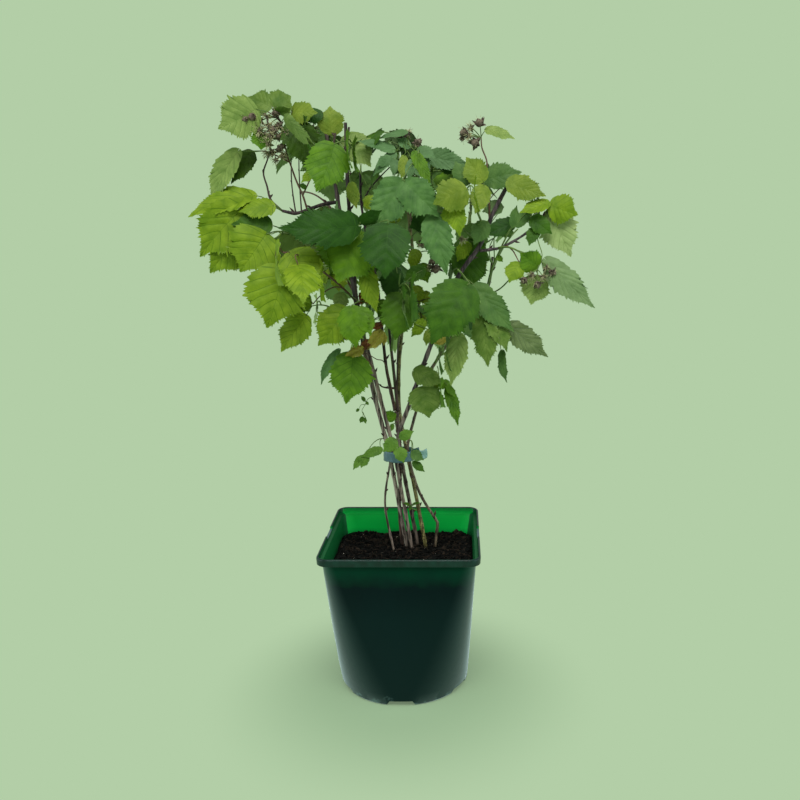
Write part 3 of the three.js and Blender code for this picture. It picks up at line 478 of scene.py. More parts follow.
# For each shoot its leaves: the joint's view point and its depth y, the tint, and the leaflets. A
# leaflet has the view points of its foot and tip, its width there, how far its tip stands in front
# of its foot (in mm) and its roll about its own axis (in degrees).
HANGING = {
    "top_left_inner": [
        (292, 114, -24, "fading", (292, 112, 318, 113, 17, 6, -20)),
        (323, 114, -20, "forest", (322, 113, 301, 120, 13, 4, 25))],
    "left_lower": [
        (274, 226, -34, "meadow", (271, 226, 231, 224, 22, 8, 20)),
        (270, 233, -32, "lime", (252, 230, 210, 273, 42, 10, 10)),
        (272, 234, -42, "lime", (266, 234, 240, 272, 50, 12, 0))],
    "left_low": [
        (286, 252, -50, "lime", (283, 268, 267, 328, 56, 14, 0), (290, 253, 318, 291, 41, 8, -8)),
        (313, 304, -26, "lime", (311, 301, 292, 303, 20, 4, 0)),
        (297, 262, -90, "lime", (298, 265, 303, 304, 33, 38, -6))],
    "left_yellow": [
        (312, 306, -40, "lime", (306, 316, 281, 352, 27, 10, 18)),
        (350, 307, -36, "lime", (346, 309, 318, 346, 33, 10, 0))],
    "front_dark": [
        (360, 225, -54, "forest", (358, 226, 278, 228, 35, 14, 10), (360, 222, 382, 210, 14, 2, 30)),
        (358, 228, -44, "olive", (356, 231, 338, 283, 57, 12, 0))],
    "centre_dark": [
        (388, 220, -56, "forest", (388, 225, 385, 279, 45, 14, 0)),
        (402, 216, -20, "lime", (400, 216, 376, 226, 11, 4, 20))],
    "upper_front": [
        (336, 143, -52, "spring", (334, 145, 316, 192, 40, 12, 0)),
        (347, 134, 2, "pale", (346, 136, 371, 167, 29, 4, -12)),
        (331, 136, -16, "fading", (331, 134, 330, 106, 23, -4, 10)),
        (350, 182, -30, "fading", (351, 183, 357, 209, 11, 4, 10)),
        (371, 195, -12, "lime", (371, 196, 374, 213, 13, 4, 0)),
        (316, 168, -34, "lime", (315, 171, 301, 183, 8, 4, 20))],
    "upper_right": [
        (403, 179, -40, "blue", (402, 181, 375, 229, 39, 10, 5), (405, 182, 439, 217, 33, 10, -8))],
    "top_centre": [
        (408, 140, 0, "mist", (407, 132, 378, 139, 7, 4, 58), (410, 147, 396, 138, 9, 0, 40)),
        (398, 150, -6, "mist", (394, 150, 357, 141, 9, 4, 50), (395, 153, 373, 176, 11, 6, 25)),
        (392, 158, -10, "mist", (392, 158, 376, 166, 11, 5, 15), (396, 160, 393, 176, 10, 4, 0)),
        (406, 152, -14, "fading", (404, 156, 401, 180, 10, 6, 0)),
        (414, 150, -12, "spring", (414, 152, 431, 185, 12, 8, -15)),
        (420, 150, -4, "mist", (418, 149, 436, 158, 11, 4, -30), (421, 153, 430, 171, 9, 4, -10)),
        (412, 160, -16, "mist", (412, 160, 408, 180, 11, 4, 10), (413, 163, 422, 178, 9, 4, -10))],
    "right_back_high": [
        (426, 154, 14, "mist", (426, 156, 469, 164, 18, 4, -14)),
        (440, 156, 18, "forest", (440, 156, 456, 176, 18, 4, 0))],
    "right_yellow": [
        (484, 183, -34, "fading", (483, 181, 466, 157, 23, -2, 8), (484, 186, 475, 214, 18, 8, -8)),
        (470, 186, -28, "sage", (468, 184, 455, 161, 18, -4, 0)),
        (469, 190, -50, "fading", (466, 190, 433, 204, 31, 8, 10)),
        (455, 203, -44, "lime", (455, 204, 460, 237, 17, 6, 0), (450, 205, 445, 230, 12, 4, 10))],
    "right_tip": [
        (483, 182, -18, "sage", (484, 180, 522, 172, 23, 4, -12)),
        (509, 182, -28, "fading", (508, 181, 546, 196, 21, 10, -15))],
    "right_far": [
        (549, 204, -36, "lime", (550, 205, 578, 215, 28, 4, -8), (549, 203, 519, 213, 13, 4, 40)),
        (552, 207, -30, "light", (552, 209, 571, 257, 30, 6, -10)),
        (514, 228, -30, "sage", (513, 227, 517, 205, 9, -2, 20), (516, 226, 532, 209, 13, 0, -20)),
        (531, 218, -36, "meadow", (531, 219, 552, 234, 17, 4, -10), (536, 228, 529, 246, 13, 4, 10))],
    "right_middle": [
        (488, 221, -20, "sage", (486, 222, 474, 245, 20, 4, 5)),
        (518, 222, -16, "forest", (515, 222, 484, 236, 16, 6, 10)),
        (504, 207, -10, "grey", (502, 206, 482, 212, 13, 4, 10)),
        (433, 214, -44, "blue", (433, 215, 447, 275, 31, 12, -5)),
        (431, 219, -28, "forest", (430, 220, 409, 228, 18, 4, 10)),
        (470, 238, 4, "meadow", (468, 238, 471, 293, 37, 6, 0)),
        (472, 248, 8, "lime", (473, 250, 486, 274, 14, 4, 0)),
        (470, 242, 0, "lime", (469, 243, 457, 262, 14, 4, 0))],
    "right_low": [
        (470, 284, -60, "meadow", (467, 285, 431, 344, 47, 14, 0)),
        (474, 285, -42, "sage", (475, 286, 514, 332, 28, 8, -12)),
        (508, 325, -40, "dull", (508, 325, 548, 357, 23, 8, -5))],
    "right_low_tip": [
        (484, 314, -46, "dusty", (483, 316, 488, 367, 27, 8, 10), (488, 317, 507, 352, 20, 6, -30)),
        (501, 350, -40, "sage", (502, 351, 507, 383, 9, 4, 40))],
    "right_hanging": [
        (540, 264, -52, "spring", (538, 266, 520, 253, 24, 2, 0)),
        (519, 264, -52, "lime", (519, 263, 509, 283, 20, 6, 5)),
        (538, 274, -46, "pale", (537, 276, 531, 305, 30, 8, 0)),
        (545, 261, -50, "grey", (546, 260, 595, 308, 26, 12, -10))],
    "centre_low": [
        (402, 292, -46, "deep", (400, 294, 395, 340, 35, 10, 0)),
        (396, 266, -32, "forest", (395, 268, 388, 301, 23, 8, 0)),
        (426, 268, -24, "meadow", (424, 268, 403, 281, 14, 4, 10))],
    "centre_front": [
        (365, 266, -42, "lime", (366, 268, 377, 313, 19, 8, 0)),
        (352, 305, -52, "olive", (351, 307, 356, 348, 28, 10, 12)),
        (360, 308, -54, "olive", (359, 308, 371, 336, 20, 8, -8)),
        (366, 266, -30, "rust", (365, 268, 360, 278, 8, 2, 20)),
        (374, 290, -30, "rust", (371, 291, 359, 305, 15, 6, 10)),
        (344, 292, -24, "pale", (342, 293, 338, 313, 14, 4, 10)),
        (384, 322, -26, "rust", (383, 323, 371, 329, 8, 4, 10)),
        (383, 332, -28, "yellow", (382, 331, 367, 350, 15, 4, 10), (382, 332, 384, 346, 8, 3, -20)),
        (366, 340, -30, "rust", (369, 340, 359, 352, 9, 4, 0)),
        (362, 350, -34, "yellow", (363, 348, 345, 356, 12, 4, 20)),
        (426, 320, -20, "lime", (424, 320, 411, 337, 12, 4, 0)),
        (430, 330, -24, "fading", (430, 330, 426, 346, 10, 4, 0)),
        (447, 340, -18, "yellow", (446, 338, 434, 344, 10, 4, 0))],
    "low_left": [
        (354, 351, -34, "spring", (353, 354, 346, 404, 39, 12, 0)),
        (341, 355, -30, "blue", (339, 350, 321, 385, 9, 4, 40))],
    "low_right": [
        (461, 333, -50, "pale", (460, 335, 451, 386, 22, 6, 0))],
    "low_small": [
        (414, 371, -14, "dusty", (414, 371, 444, 383, 19, 4, -10)),
        (430, 386, -16, "dusty", (424, 387, 429, 418, 32, 8, 0)),
        (442, 388, -14, "spring", (447, 389, 458, 426, 13, 6, -20))],
    "sprout_left": [
        (381, 450, -6, "young", (382, 449, 361, 457, 10, 4, 10)),
        (366, 454, -8, "young", (366, 455, 361, 468, 10, 4, 0), (362, 456, 353, 470, 7, 4, 10))],
    "sprout_middle": [
        (397, 440, -20, "young", (400, 438, 414, 431, 10, 2, 0), (396, 440, 383, 452, 15, 4, 0)),
        (399, 446, -22, "young", (398, 448, 404, 463, 12, 4, 0))],
    "sprout_right": [
        (411, 453, -10, "sage", (412, 452, 424, 460, 10, 4, 0)),
        (412, 461, -10, "meadow", (413, 462, 425, 472, 8, 4, 0))],
}
# Twigs: the bark's kind, the radii of foot and end in mm, the limb or twig that carries it, the view
# point where it leaves that, and then its own view points with their depth.
TWIGS = {
    "spur_left": ("bare", 1.1, 0.6, "bough_left", [
        (277, 210), (271, 200, -18), (267, 186, -16), (263.5, 173, -15), (267, 161, -15), (271, 150, -14)]),
    "spur_left_knot": ("bare", 0.9, 0.3, "spur_left", [(264, 174), (262.5, 170, -15)]),
    "spur_left_bud": ("bare", 1.0, 0.4, "spur_left", [(270, 199), (272.5, 195, -18)]),
    "fruit_stem_left": ("red", 1.0, 0.5, "bough_left", [
        (306, 209), (303, 196, -13), (296, 180, -14), (291, 166, -15), (287, 155, -16), (284, 140, -18),
        (281, 122, -21), (274, 114, -24)]),
    "fruit_stem_fork": ("red", 0.8, 0.5, "fruit_stem_left", [
        (303, 196), (308, 184, -14), (313, 173, -16), (319, 160, -20)]),
    "thin_stem_a": ("bare", 0.75, 0.5, "bough_left", [
        (296, 214), (293, 195, -14), (291.5, 180, -14), (291, 158, -13)]),
    "thin_stem_b": ("bare", 0.75, 0.45, "bough_left", [
        (302, 211), (300, 190, -11), (299, 168, -10), (299, 148, -9)]),
    "cut_fork": ("bare", 1.3, 1.0, "cane_left_front", [(345.5, 143), (348, 135, -22), (349, 127, -23)]),
    "cut_side": ("bare", 1.2, 0.9, "cane_left_front", [
        (344, 168), (338, 157, -21), (334, 144, -21), (335.5, 133, -21)]),
    "cut_side_end": ("bare", 1.0, 0.7, "cut_side", [(335, 136), (332, 133.5, -21)]),
    "high_side": ("bare", 1.1, 0.5, "fork_arm_left", [
        (361, 206), (369, 190, 30), (381, 176, 24), (391, 166, 20)]),
    "fruit_stem_right": ("red", 1.0, 0.6, "cane_right_tall", [
        (489, 221), (489, 200, -16), (485, 183, -17), (487, 163, -16), (482, 148, -15), (481, 137, -15)]),
    "thread_right": ("red", 0.5, 0.35, "fruit_stem_right", [(489, 200), (497, 191, -17), (506, 184, -17)]),
    "end_knot": ("bare", 1.6, 0.7, "cane_right_tall", [(509, 184), (506, 182, -16), (504, 177, -16)]),
    "stalk_right_a": ("green", 1.0, 0.7, "cane_right_short", [
        (487, 292), (492, 268, -4), (500, 250, -18), (509, 232, -26), (517, 222, -28)]),
    "stalk_right_b": ("green", 0.8, 0.5, "stalk_right_a", [
        (503, 244), (511, 228, -26), (521, 221, -30), (531, 219, -34)]),
    "stalk_right_c": ("green", 0.7, 0.5, "cane_right_short", [
        (492, 288), (494, 262, 8), (494, 240, 0), (497, 222, -6)]),
    "stalk_right_d": ("green", 0.8, 0.6, "cane_right_short", [
        (486, 302), (498, 290, -6), (509, 280, -30), (518, 270, -46)]),
    "hanging_stem": ("red", 0.7, 0.45, "bough_right", [
        (506, 245), (513, 251, -36), (518, 260, -46), (521, 266, -50)]),
    "hanging_thread": ("green", 0.5, 0.4, "bough_right", [
        (537, 232), (539, 244, -40), (542, 254, -48), (541, 263, -52)]),
    "hanging_fruit_stem": ("green", 0.6, 0.45, "hanging_thread", [
        (541, 262), (538, 268, -54), (537, 273, -55)]),
    "spur_low": ("bare", 1.3, 0.3, "fork_arm_right", [(388, 389), (383, 387, 4), (378, 383, 0)]),
    "spur_low_b": ("bare", 0.9, 0.3, "cane_forked", [(394, 345), (398, 341, 8), (401, 338, 6)]),
    "middle_fruit_a": ("green", 0.6, 0.4, "cane_green", [(411, 236), (417, 232, 22), (423, 234, 8)]),
    "middle_fruit_b": ("green", 0.6, 0.4, "cane_green", [
        (412, 262), (421, 252, 18), (431, 252, 2), (435, 257, -4)]),
    "middle_fruit_c": ("bare", 0.6, 0.4, "cane_green", [
        (410, 214), (416, 203, 22), (421, 201, 4), (423, 203, -8)]),
    "dead_twig": ("bare", 0.7, 0.4, "cane_green", [(403, 284), (412, 288, 18), (418, 303, 8), (424, 328, 2)]),
    "dead_twig_side": ("bare", 0.5, 0.3, "dead_twig", [(418, 303), (426, 299, 4), (433, 299, 2)]),
    "top_fruit": ("green", 0.7, 0.45, "cane_green", [
        (404, 180), (409, 166, 30), (413, 154, 18), (417, 148, 8)]),
    "top_fruit_b": ("green", 0.5, 0.4, "top_fruit", [(411, 160), (407, 148, 18), (404, 139, 10)]),
    "low_shoot": ("green", 0.7, 0.4, "cane_green", [(412, 512), (411, 508, 16), (411, 505, 12)]),
    "thread_low": ("green", 0.35, 0.2, "cane_left_tall", [
        (372, 396), (368, 399, 2), (365, 405, -2), (362, 411, -4), (366, 418, -4)]),
    "thread_low_b": ("green", 0.3, 0.2, "thread_low", [(365, 405), (361, 405, -4), (359, 409, -5)]),
    "thread_middle": ("red", 0.6, 0.35, "cane_forked", [
        (394, 372), (386, 366, 0), (376, 359, -12), (364, 352, -22), (357, 350, -27)]),
}
# Spent fruit on those twigs: the carrier, the view point that its stalks leave, and each husk's view
# point, depth, size and kind.
HUSKS = [
    ("fruit_stem_left", (279, 118), [
        (247, 119, -40, 1.25, "cup"), (254, 117, -38, 1.6, "cup"), (261, 121, -34, 1.1, "tuft"),
        (267, 117, -34, 1.0, "tuft"), (276, 113, -30, 1.1, "cup"), (269, 126, -36, 1.2, "tuft")]),
    ("fruit_stem_left", (284, 138), [
        (259, 131, -38, 1.2, "tuft"), (256, 126, -36, 1.2, "cup"), (268, 144, -36, 1.2, "tuft"),
        (285, 133, -32, 1.1, "tuft"), (262, 136, -34, 1.3, "tuft"), (271, 136, -40, 1.3, "tuft"),
        (282, 145, -30, 1.0, "cup"), (278, 126, -30, 1.2, "tuft"), (279, 137, -28, 1.1, "cup"),
        (266, 141, -30, 0.9, "tuft"), (273, 130, -36, 1.1, "cup")]),
    ("fruit_stem_left", (287, 155), [
        (283, 156, -26, 1.0, "tuft"), (268, 154, -28, 1.0, "tuft"), (280, 149, -24, 1.0, "cup"),
        (272, 152, -26, 1.1, "tuft"), (276, 160, -22, 0.8, "tuft")]),
    ("fruit_stem_right", (481, 138), [
        (480, 125, -18, 1.6, "cup"), (471, 128, -19, 1.0, "tuft"), (466, 133, -20, 1.6, "cup"),
        (463, 138, -16, 1.0, "cup"), (476, 142, -20, 1.6, "cup"), (469, 136, -24, 1.0, "tuft")]),
    ("end_knot", (506, 181), [
        (504, 177, -18, 1.2, "dry"), (509, 179, -20, 1.1, "dry"), (506, 183, -20, 0.8, "cup")]),
    ("hanging_fruit_stem", (538, 270), [
        (525, 279, -58, 1.3, "cup"), (537, 283, -58, 1.4, "cup"), (532, 275, -60, 1.1, "tuft"),
        (543, 277, -58, 1.1, "tuft")]),
    ("hanging_thread", (541, 262), [(552, 272, -56, 1.2, "cup"), (546, 268, -58, 0.9, "tuft")]),
    ("middle_fruit_a", (423, 234), [
        (424, 241, 4, 1.4, "cup"), (428, 237, 2, 1.0, "cup"), (421, 245, 2, 0.9, "tuft")]),
    ("middle_fruit_b", (434, 256), [
        (433, 260, -8, 1.5, "cup"), (436, 267, -10, 1.7, "cup"), (430, 266, -6, 1.0, "tuft"),
        (439, 259, -8, 1.1, "cup")]),
    ("middle_fruit_c", (423, 203), [
        (421, 208, -14, 1.2, "cup"), (427, 226, -14, 1.1, "cup"), (412, 206, -12, 1.3, "cup")]),
    ("top_fruit", (417, 148), [(418, 143, 4, 1.3, "cup"), (424, 168, -4, 1.1, "tuft")]),
    ("top_fruit_b", (404, 139), [(405, 135, 6, 1.0, "cup"), (401, 138, 6, 0.8, "cup")]),
]
# Leaves on those twigs and on the canes: the carrier, the view point where the petiole leaves it if
# that isn't the joint's own, the joint, the tint and the leaflets.
LEAVES_ON = [
    ("fruit_stem_left", (281, 122), (268, 112, -38), "pale", [(256, 109, 218, 129, 35, 8, 12)]),
    ("fruit_stem_left", (276, 117), (273, 110, -30), "dusty", [
        (271, 107, 248, 97, 21, -4, 22), (274, 107, 291, 96, 26, -4, -18), (276, 112, 291, 108, 8, 2, 50)]),
    ("fruit_stem_left", (284, 140), (266, 131, -34), "spring", [(262, 133, 261, 150, 18, 2, 0)]),
    ("fruit_stem_left", (281, 122), (286, 118, -44), "pale", [(285, 117, 316, 146, 11, 6, 60)]),
    ("fruit_stem_left", (284, 140), (294, 120, -28), "shade", [(293, 122, 306, 167, 31, 4, -8)]),
    ("fruit_stem_left", (290, 163), (262, 151, -12), "shade", [(252, 152, 231, 184, 16, 8, 25)]),
    ("fruit_stem_left", (290, 163), (261, 151, -22), "pale", [(238, 151, 211, 204, 18, 2, 30)]),
    ("bough_left", (278, 211), (262, 204, -34), "lime", [
        (246, 206, 200, 257, 44, 12, 5), (274, 206, 238, 212, 18, 8, 35)]),
    ("bough_left", (279, 210), (262, 197, -24), "lime", [(254, 195, 188, 217, 20, 16, 50)]),
    ("fruit_stem_right", (481, 137), (484, 132, -18), "pale", [(486, 129, 515, 139, 10, 6, -45)]),
    ("cane_forked", (395, 421, 0), "spring", [(394, 420, 384, 411, 12, 3, 0)]),
    ("cane_forked", (393, 424, 0), "young", [(393, 424, 390, 432, 5, 2, 20)]),
    ("low_shoot", (411, 505, 11), "meadow", [
        (410, 505, 403, 503, 3, 3, 50), (412, 505, 421, 503, 3, 3, -50), (411, 506, 409, 511, 3, 2, 20)]),
    ("cane_green", (417, 250, 14), "lime", [(417, 250, 411, 270, 13, 4, 0)]),
    ("cane_green", (421, 264, 12), "spring", [(421, 264, 428, 283, 14, 4, 10)]),
    ("cane_green", (416, 286, 14), "lime", [(416, 286, 420, 305, 13, 4, 0)]),
    ("cane_green", (405, 284, 8), "meadow", [(405, 284, 400, 304, 14, 4, 10)]),
    ("cane_green", (424, 292, 16), "lime", [(424, 292, 433, 308, 12, 4, 0)]),
    ("cane_green", (402, 312, 14), "spring", [(402, 312, 408, 330, 12, 4, 0)]),
    ("cane_green", (420, 312, 14), "fading", [(420, 312, 424, 330, 11, 4, 0)]),
    ("cane_forked", (384, 300, 0), "spring", [(384, 300, 378, 318, 12, 4, 0)]),
    ("fork_arm_left", (368, 230, 10), "lime", [(368, 196, 372, 212, 12, 4, 0)]),
    ("cane_left_front", (352, 186, -12), "fading", [(352, 186, 356, 205, 10, 4, 0)]),
    ("thread_low", (365, 401, -1), "young", [(365, 401, 361, 396, 4, 2, 20), (366, 402, 369, 405, 3, 2, 0)]),
    ("thread_low", (363, 412, -4), "young", [(363, 417, 360, 423, 5, 2, 0), (365, 418, 366, 424, 3, 2, 20)]),
    ("thread_low_b", (359, 409, -5), "young", [(359, 409, 356, 412, 3, 1, 0)]),
    ("fruit_stem_fork", (306, 188, -14), "meadow", [(306, 188, 299, 184, 5, 3, 30)]),
    ("stalk_right_a", (497, 256, -14), "spring", [(497, 256, 503, 262, 6, 3, 0)]),
]
# Shoots whose leaves hang from the twigs above instead of from a stem of their own.
RETOLD = ("top_left", "fruit_spray", "left_upper", "left_outer", "left_middle")
WITHOUT_FRUIT = (*RETOLD, "right_hanging")
# The crown's outline in view points, and round gaps in it that show the sky.
CROWN = [
    (222, 104), (252, 91), (288, 91), (330, 106), (352, 134), (378, 131), (406, 130), (425, 149), (468, 154),
    (500, 164), (546, 192), (574, 200), (574, 250), (592, 275), (590, 300), (545, 298), (512, 288),
    (514, 328), (544, 345), (520, 352), (490, 362), (466, 350), (455, 384), (462, 410), (425, 415),
    (405, 345), (372, 376), (352, 402), (336, 385), (334, 345), (284, 345), (262, 322), (248, 275),
    (212, 270), (198, 245), (190, 212), (210, 190), (212, 160), (250, 150), (262, 150), (225, 130)]
SKY = [(290, 186, 20), (256, 174, 16), (500, 262, 22), (528, 236, 14), (466, 216, 8), (310, 196, 10),
       (340, 365, 14), (500, 200, 10), (296, 312, 8), (330, 296, 10), (560, 186, 14), (455, 345, 6)]


def sight(u, v, depth):
    """The place at this depth y that shows at the view point (u, v)."""
    right, rise = (u - VIEW["across"]) / VIEW["scale"], (VIEW["down"] - v) / VIEW["scale"]
    ray = vec(right, math.cos(TILT) - rise * math.sin(TILT), math.sin(TILT) + rise * math.cos(TILT))
    return EYE + ray * (depth - EYE[1]) / ray[1]


def shown_at(point):
    """The view point where a place shows."""
    away = point - EYE
    ahead = away[1] * math.cos(TILT) + away[2] * math.sin(TILT)
    up = away[2] * math.cos(TILT) - away[1] * math.sin(TILT)
    return VIEW["across"] + VIEW["scale"] * away[0] / ahead, VIEW["down"] - VIEW["scale"] * up / ahead


def in_crown(point):
    """Whether a place shows inside the crown's outline and in none of its gaps."""
    u, v = shown_at(point)
    if any(math.hypot(u - a, v - b) < r for a, b, r in SKY):
        return False
    inside = False
    for (a, b), (c, d) in zip(CROWN, CROWN[1:] + CROWN[:1]):
        if (b > v) != (d > v) and u < a + (c - a) * (v - b) / (d - b):
            inside = not inside
    return inside


# How a petiole leaves its stem: where, as a share of its reach, and how far it runs on and up.
SLANT = {"back": 0.8, "ahead": 0.5, "up": 0.08, "steps": 8}
SEAT = 1  # how far leaflets stand in front of their joint


def blades_at(depth, leaflets):
    """Leaflets by the view points of their feet and tips, at a joint of this depth."""
    blades = []
    for foot_u, foot_v, tip_u, tip_v, wide, forth, roll in leaflets:
        foot = sight(foot_u, foot_v, depth - SEAT)
        tip = sight(tip_u, tip_v, depth - SEAT - forth)
        chord = unit(tip - foot)
        toward = unit(EYE - foot)
        normal = turned(unit(toward - chord * (toward @ chord)), chord, roll)
        half = wide / 2 * math.dist(foot, EYE) / VIEW["scale"] / math.cos(math.radians(roll))
        blades.append((foot, tip, normal, half))
    return blades


def hanging_leaf(shoot, joint_at, leaflets):
    """A leaf hung at its place: the petiole leaves the shoot's stem at a slant and ends at the joint."""
    joint = sight(*joint_at)
    stem = np.array(shoot["fine"])
    away = np.linalg.norm(stem - joint, axis=1)
    close = int(np.argmin(away))
    below = np.linalg.norm(stem - stem[close], axis=1)
    near = next((i for i in range(close, -1, -1) if below[i] > SLANT["back"] * away[close]), 0)
    ahead = unit(stem[min(near + 1, len(stem) - 1)] - stem[max(near - 1, 0)])
    crest = stem[near] + (ahead * SLANT["ahead"] + vec(0, 0, SLANT["up"])) * away[near]
    petiole = bezier(stem[near], crest, joint, SLANT["steps"])
    return {"petiole": petiole, "blades": blades_at(joint_at[2], leaflets), "near": near}


BEHIND_FRONT = -22  # the depth that leaves of the growth rule keep behind those hung in front


def is_seen_well(shoot, leaf):
    """Whether a leaf stays in the crown's outline, and behind the leaves that hang in front."""
    petiole, leaflets = leaf
    marks = [petiole[-1], *[foot + forward * length * share
                            for foot, forward, _, length in leaflets for share in (0.5, 0.9)]]
    if not all(in_crown(mark) for mark in marks):
        return False
    return shoot["name"] not in HANGING or min(mark[1] for mark in marks) > BEHIND_FRONT


# Smaller leaves on finer twigs: how many, where on the stem, their sizes, and how far past the
# solid's box they may reach.
SMALL = {"most": 9, "on_sprout": 2, "tries": 9, "start": 0.3, "least": 0.42, "largest": 0.62,
         "past": 6, "ease": 0.66}
# Leaves that stand edge on to the front. Far out in front they keep beside the crown's middle.
EDGE = {"most": 3, "tries": 60, "start": 0.35, "least": 0.55, "largest": 0.8, "ease": 0.5,
        "front": -78, "middle": 345, "beside": 36}


def is_sprout(shoot):
    return shoot["name"].startswith("sprout")


def solid_of(shoot):
    return shoot["name"] if is_sprout(shoot) else "foliage_" + shoot["name"]


def grow_side_leaves(shoot):
    """Smaller leaves that fill the shoot's own reach between the larger leaves."""
    draw = seeded(shoot["seed"] * 31 + 7)
    low, high = [np.array(corner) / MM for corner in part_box(solid_of(shoot))]
    small, stem = [], shoot["fine"]
    wanted = SMALL["on_sprout"] if is_sprout(shoot) else SMALL["most"]
    for attempt in range(wanted * SMALL["tries"]):
        if len(small) >= wanted:
            break
        share = SMALL["start"] + (1 - SMALL["start"]) * draw()
        node = stem[round(share * (len(stem) - 1))]
        blade = shoot["blade"] * mixed(SMALL["least"], SMALL["largest"], draw())
        chance = [draw() * 2 - 1 for _ in range(6)]
        leaf = compound_leaf(node, draw() * 360, shoot["droop"] * mixed(0.3, 0.8, draw()), blade, chance)
        ends = np.array([foot + forward * length for foot, forward, _, length in leaf[1]])
        inside = (ends > low - SMALL["past"]).all() and (ends < high + SMALL["past"]).all()
        if inside and is_seen_well(shoot, leaf) and settle_leaf(leaf, shoot["name"], SMALL["ease"]):
            small.append(leaf)
    return small


def stands_clear(point):
    """Whether the end of an edge leaf keeps to the solids' box, to the crown and to its sides."""
    beside = abs(shown_at(point)[0] - EDGE["middle"]) > EDGE["beside"]
    return ((point > CAD_LOW).all() and (point < CAD_HIGH).all() and in_crown(point)
            and (point[1] > EDGE["front"] or beside))


def grow_edge_leaves(shoot):
    """Leaves whose blades stand edge on to the front, so that the crown is as full from its sides."""
    draw = seeded(shoot["seed"] * 13 + 5)
    found, stem = [], shoot["fine"]
    for attempt in range(EDGE["tries"]):
        if len(found) >= EDGE["most"]:
            break
        node = stem[round(mixed(EDGE["start"], 1, draw()) * (len(stem) - 1))]
        toward = unit((EYE - node) * vec(1, 1, 0)) * (1 if draw() < 0.8 else -1)
        blade = shoot["blade"] * mixed(EDGE["least"], EDGE["largest"], draw())
        heading = math.degrees(math.atan2(toward[1], toward[0])) + 40 * (draw() - 0.5)
        petiole = arc(node, heading, 35, -70, blade * mixed(0.4, 1.4, draw()), 3)
        fall = math.radians(mixed(15, 60, draw()))
        forward = toward * math.cos(fall) - vec(0, 0, math.sin(fall))
        normal = turned(np.cross(toward, vec(0, 0, 1)), forward, mixed(-6, 6, draw()))
        joint, across = petiole[-1], np.cross(normal, forward)
        leaflets = [(joint + forward * blade * STALK, forward, normal, blade)]
        for side in (-1, 1):
            leaflets.append((joint, unit(forward * 0.45 + across * side * 0.9), normal, blade * 0.72))
        clear = all(stands_clear(foot + ahead * length) for foot, ahead, _, length in leaflets)
        if clear and settle_leaf((petiole, leaflets), shoot["name"], EDGE["ease"]):
            found.append((petiole, leaflets))
    return found


carriers = {name: [point for point, _, _ in axis] for name, axis in fine_limbs.items()}


def foot_at(carrier, u, v):
    """The point of a limb or twig that shows nearest to a view point."""
    return min(carriers[carrier], key=lambda point: math.dist(shown_at(point), (u, v)))


def smooth_path(points, steps):
    """Points along the smooth curve through these."""
    points = [np.array(p, float) for p in points]
    return [curve_point(points, i / steps) for i in range(steps + 1)]


TWIG_STEPS = 5  # steps of a twig's path for each of its points
for name, (_, _, _, carrier, through) in TWIGS.items():
    points = [foot_at(carrier, *through[0]), *[sight(*place) for place in through[1:]]]
    carriers[name] = smooth_path(points, len(points) * TWIG_STEPS)

for shoot in shoots:
    name = shoot["name"]
    retold = name in RETOLD
    shoot["leaves"] = [leaf for leaf in shoot["leaves"] if not retold and is_seen_well(shoot, leaf)]
    shoot["fruit"] = [] if name in WITHOUT_FRUIT else shoot["fruit"]
    shoot["edge"] = grow_edge_leaves(shoot) if name in HANGING and not is_sprout(shoot) else []
    shoot["small"] = [] if retold else grow_side_leaves(shoot)
    shoot["hanging"] = [(tint, hanging_leaf(shoot, (u, v, depth), leaflets))
                        for u, v, depth, tint, *leaflets in HANGING.get(name, [])]


# ---- Joined meshes from arrays ----

class Heap:
    """Gathers the corners and faces of the many small parts of one piece."""

    def __init__(self):
        self.points, self.corners, self.starts, self.tints, self.edges = [], [], [], [], []
        self.count = self.corner_count = 0

    def add(self, points, faces, tint, edge=None):
        """Adds corners and their faces; `edge` marks the corners of a rim."""
        points = np.asarray(points, float)
        self.points.append(points)
        self.edges.append(np.zeros(len(points), bool) if edge is None else edge)
        self.cover(np.asarray(faces, int) + self.count, tint)
        self.count += len(points)

    def cover(self, faces, tint):
        """Adds faces of one size over corners in the heap, of one tint or each of its own."""
        self.corners.append(faces.ravel())
        self.starts.append(self.corner_count + np.arange(len(faces)) * faces.shape[1])
        self.tints.append(np.broadcast_to(tint, len(faces)))
        self.corner_count += faces.size
    def piece(self, name, slot, materials, nodes=(), smooth=True):
        mesh = bpy.data.meshes.new(name)
        starts = np.concatenate(self.starts)
        mesh.vertices.add(self.count)
        mesh.vertices.foreach_set("co", (np.vstack(self.points) * MM).ravel())
        mesh.loops.add(self.corner_count)
        mesh.loops.foreach_set("vertex_index", np.concatenate(self.corners))
        mesh.polygons.add(len(starts))
        mesh.polygons.foreach_set("loop_start", starts)
        mesh.polygons.foreach_set("material_index", np.concatenate(self.tints))
        mesh.polygons.foreach_set("use_smooth", np.full(len(starts), smooth))
        mesh.update(calc_edges=True)
        rim = np.concatenate(self.edges)
        if rim.any():
            ends = np.empty(len(mesh.edges) * 2, int)
            mesh.edges.foreach_get("vertices", ends)
            sharp = mesh.attributes.new("sharp_edge", "BOOLEAN", "EDGE")
            sharp.data.foreach_set("value", rim[ends].reshape(-1, 2).all(1))
        for material in materials:
            mesh.materials.append(material)
        piece = bpy.data.objects.new(name, mesh)
        bpy.context.collection.objects.link(piece)
        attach(piece, "root")
        if nodes:
            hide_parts(*nodes)
        return piece


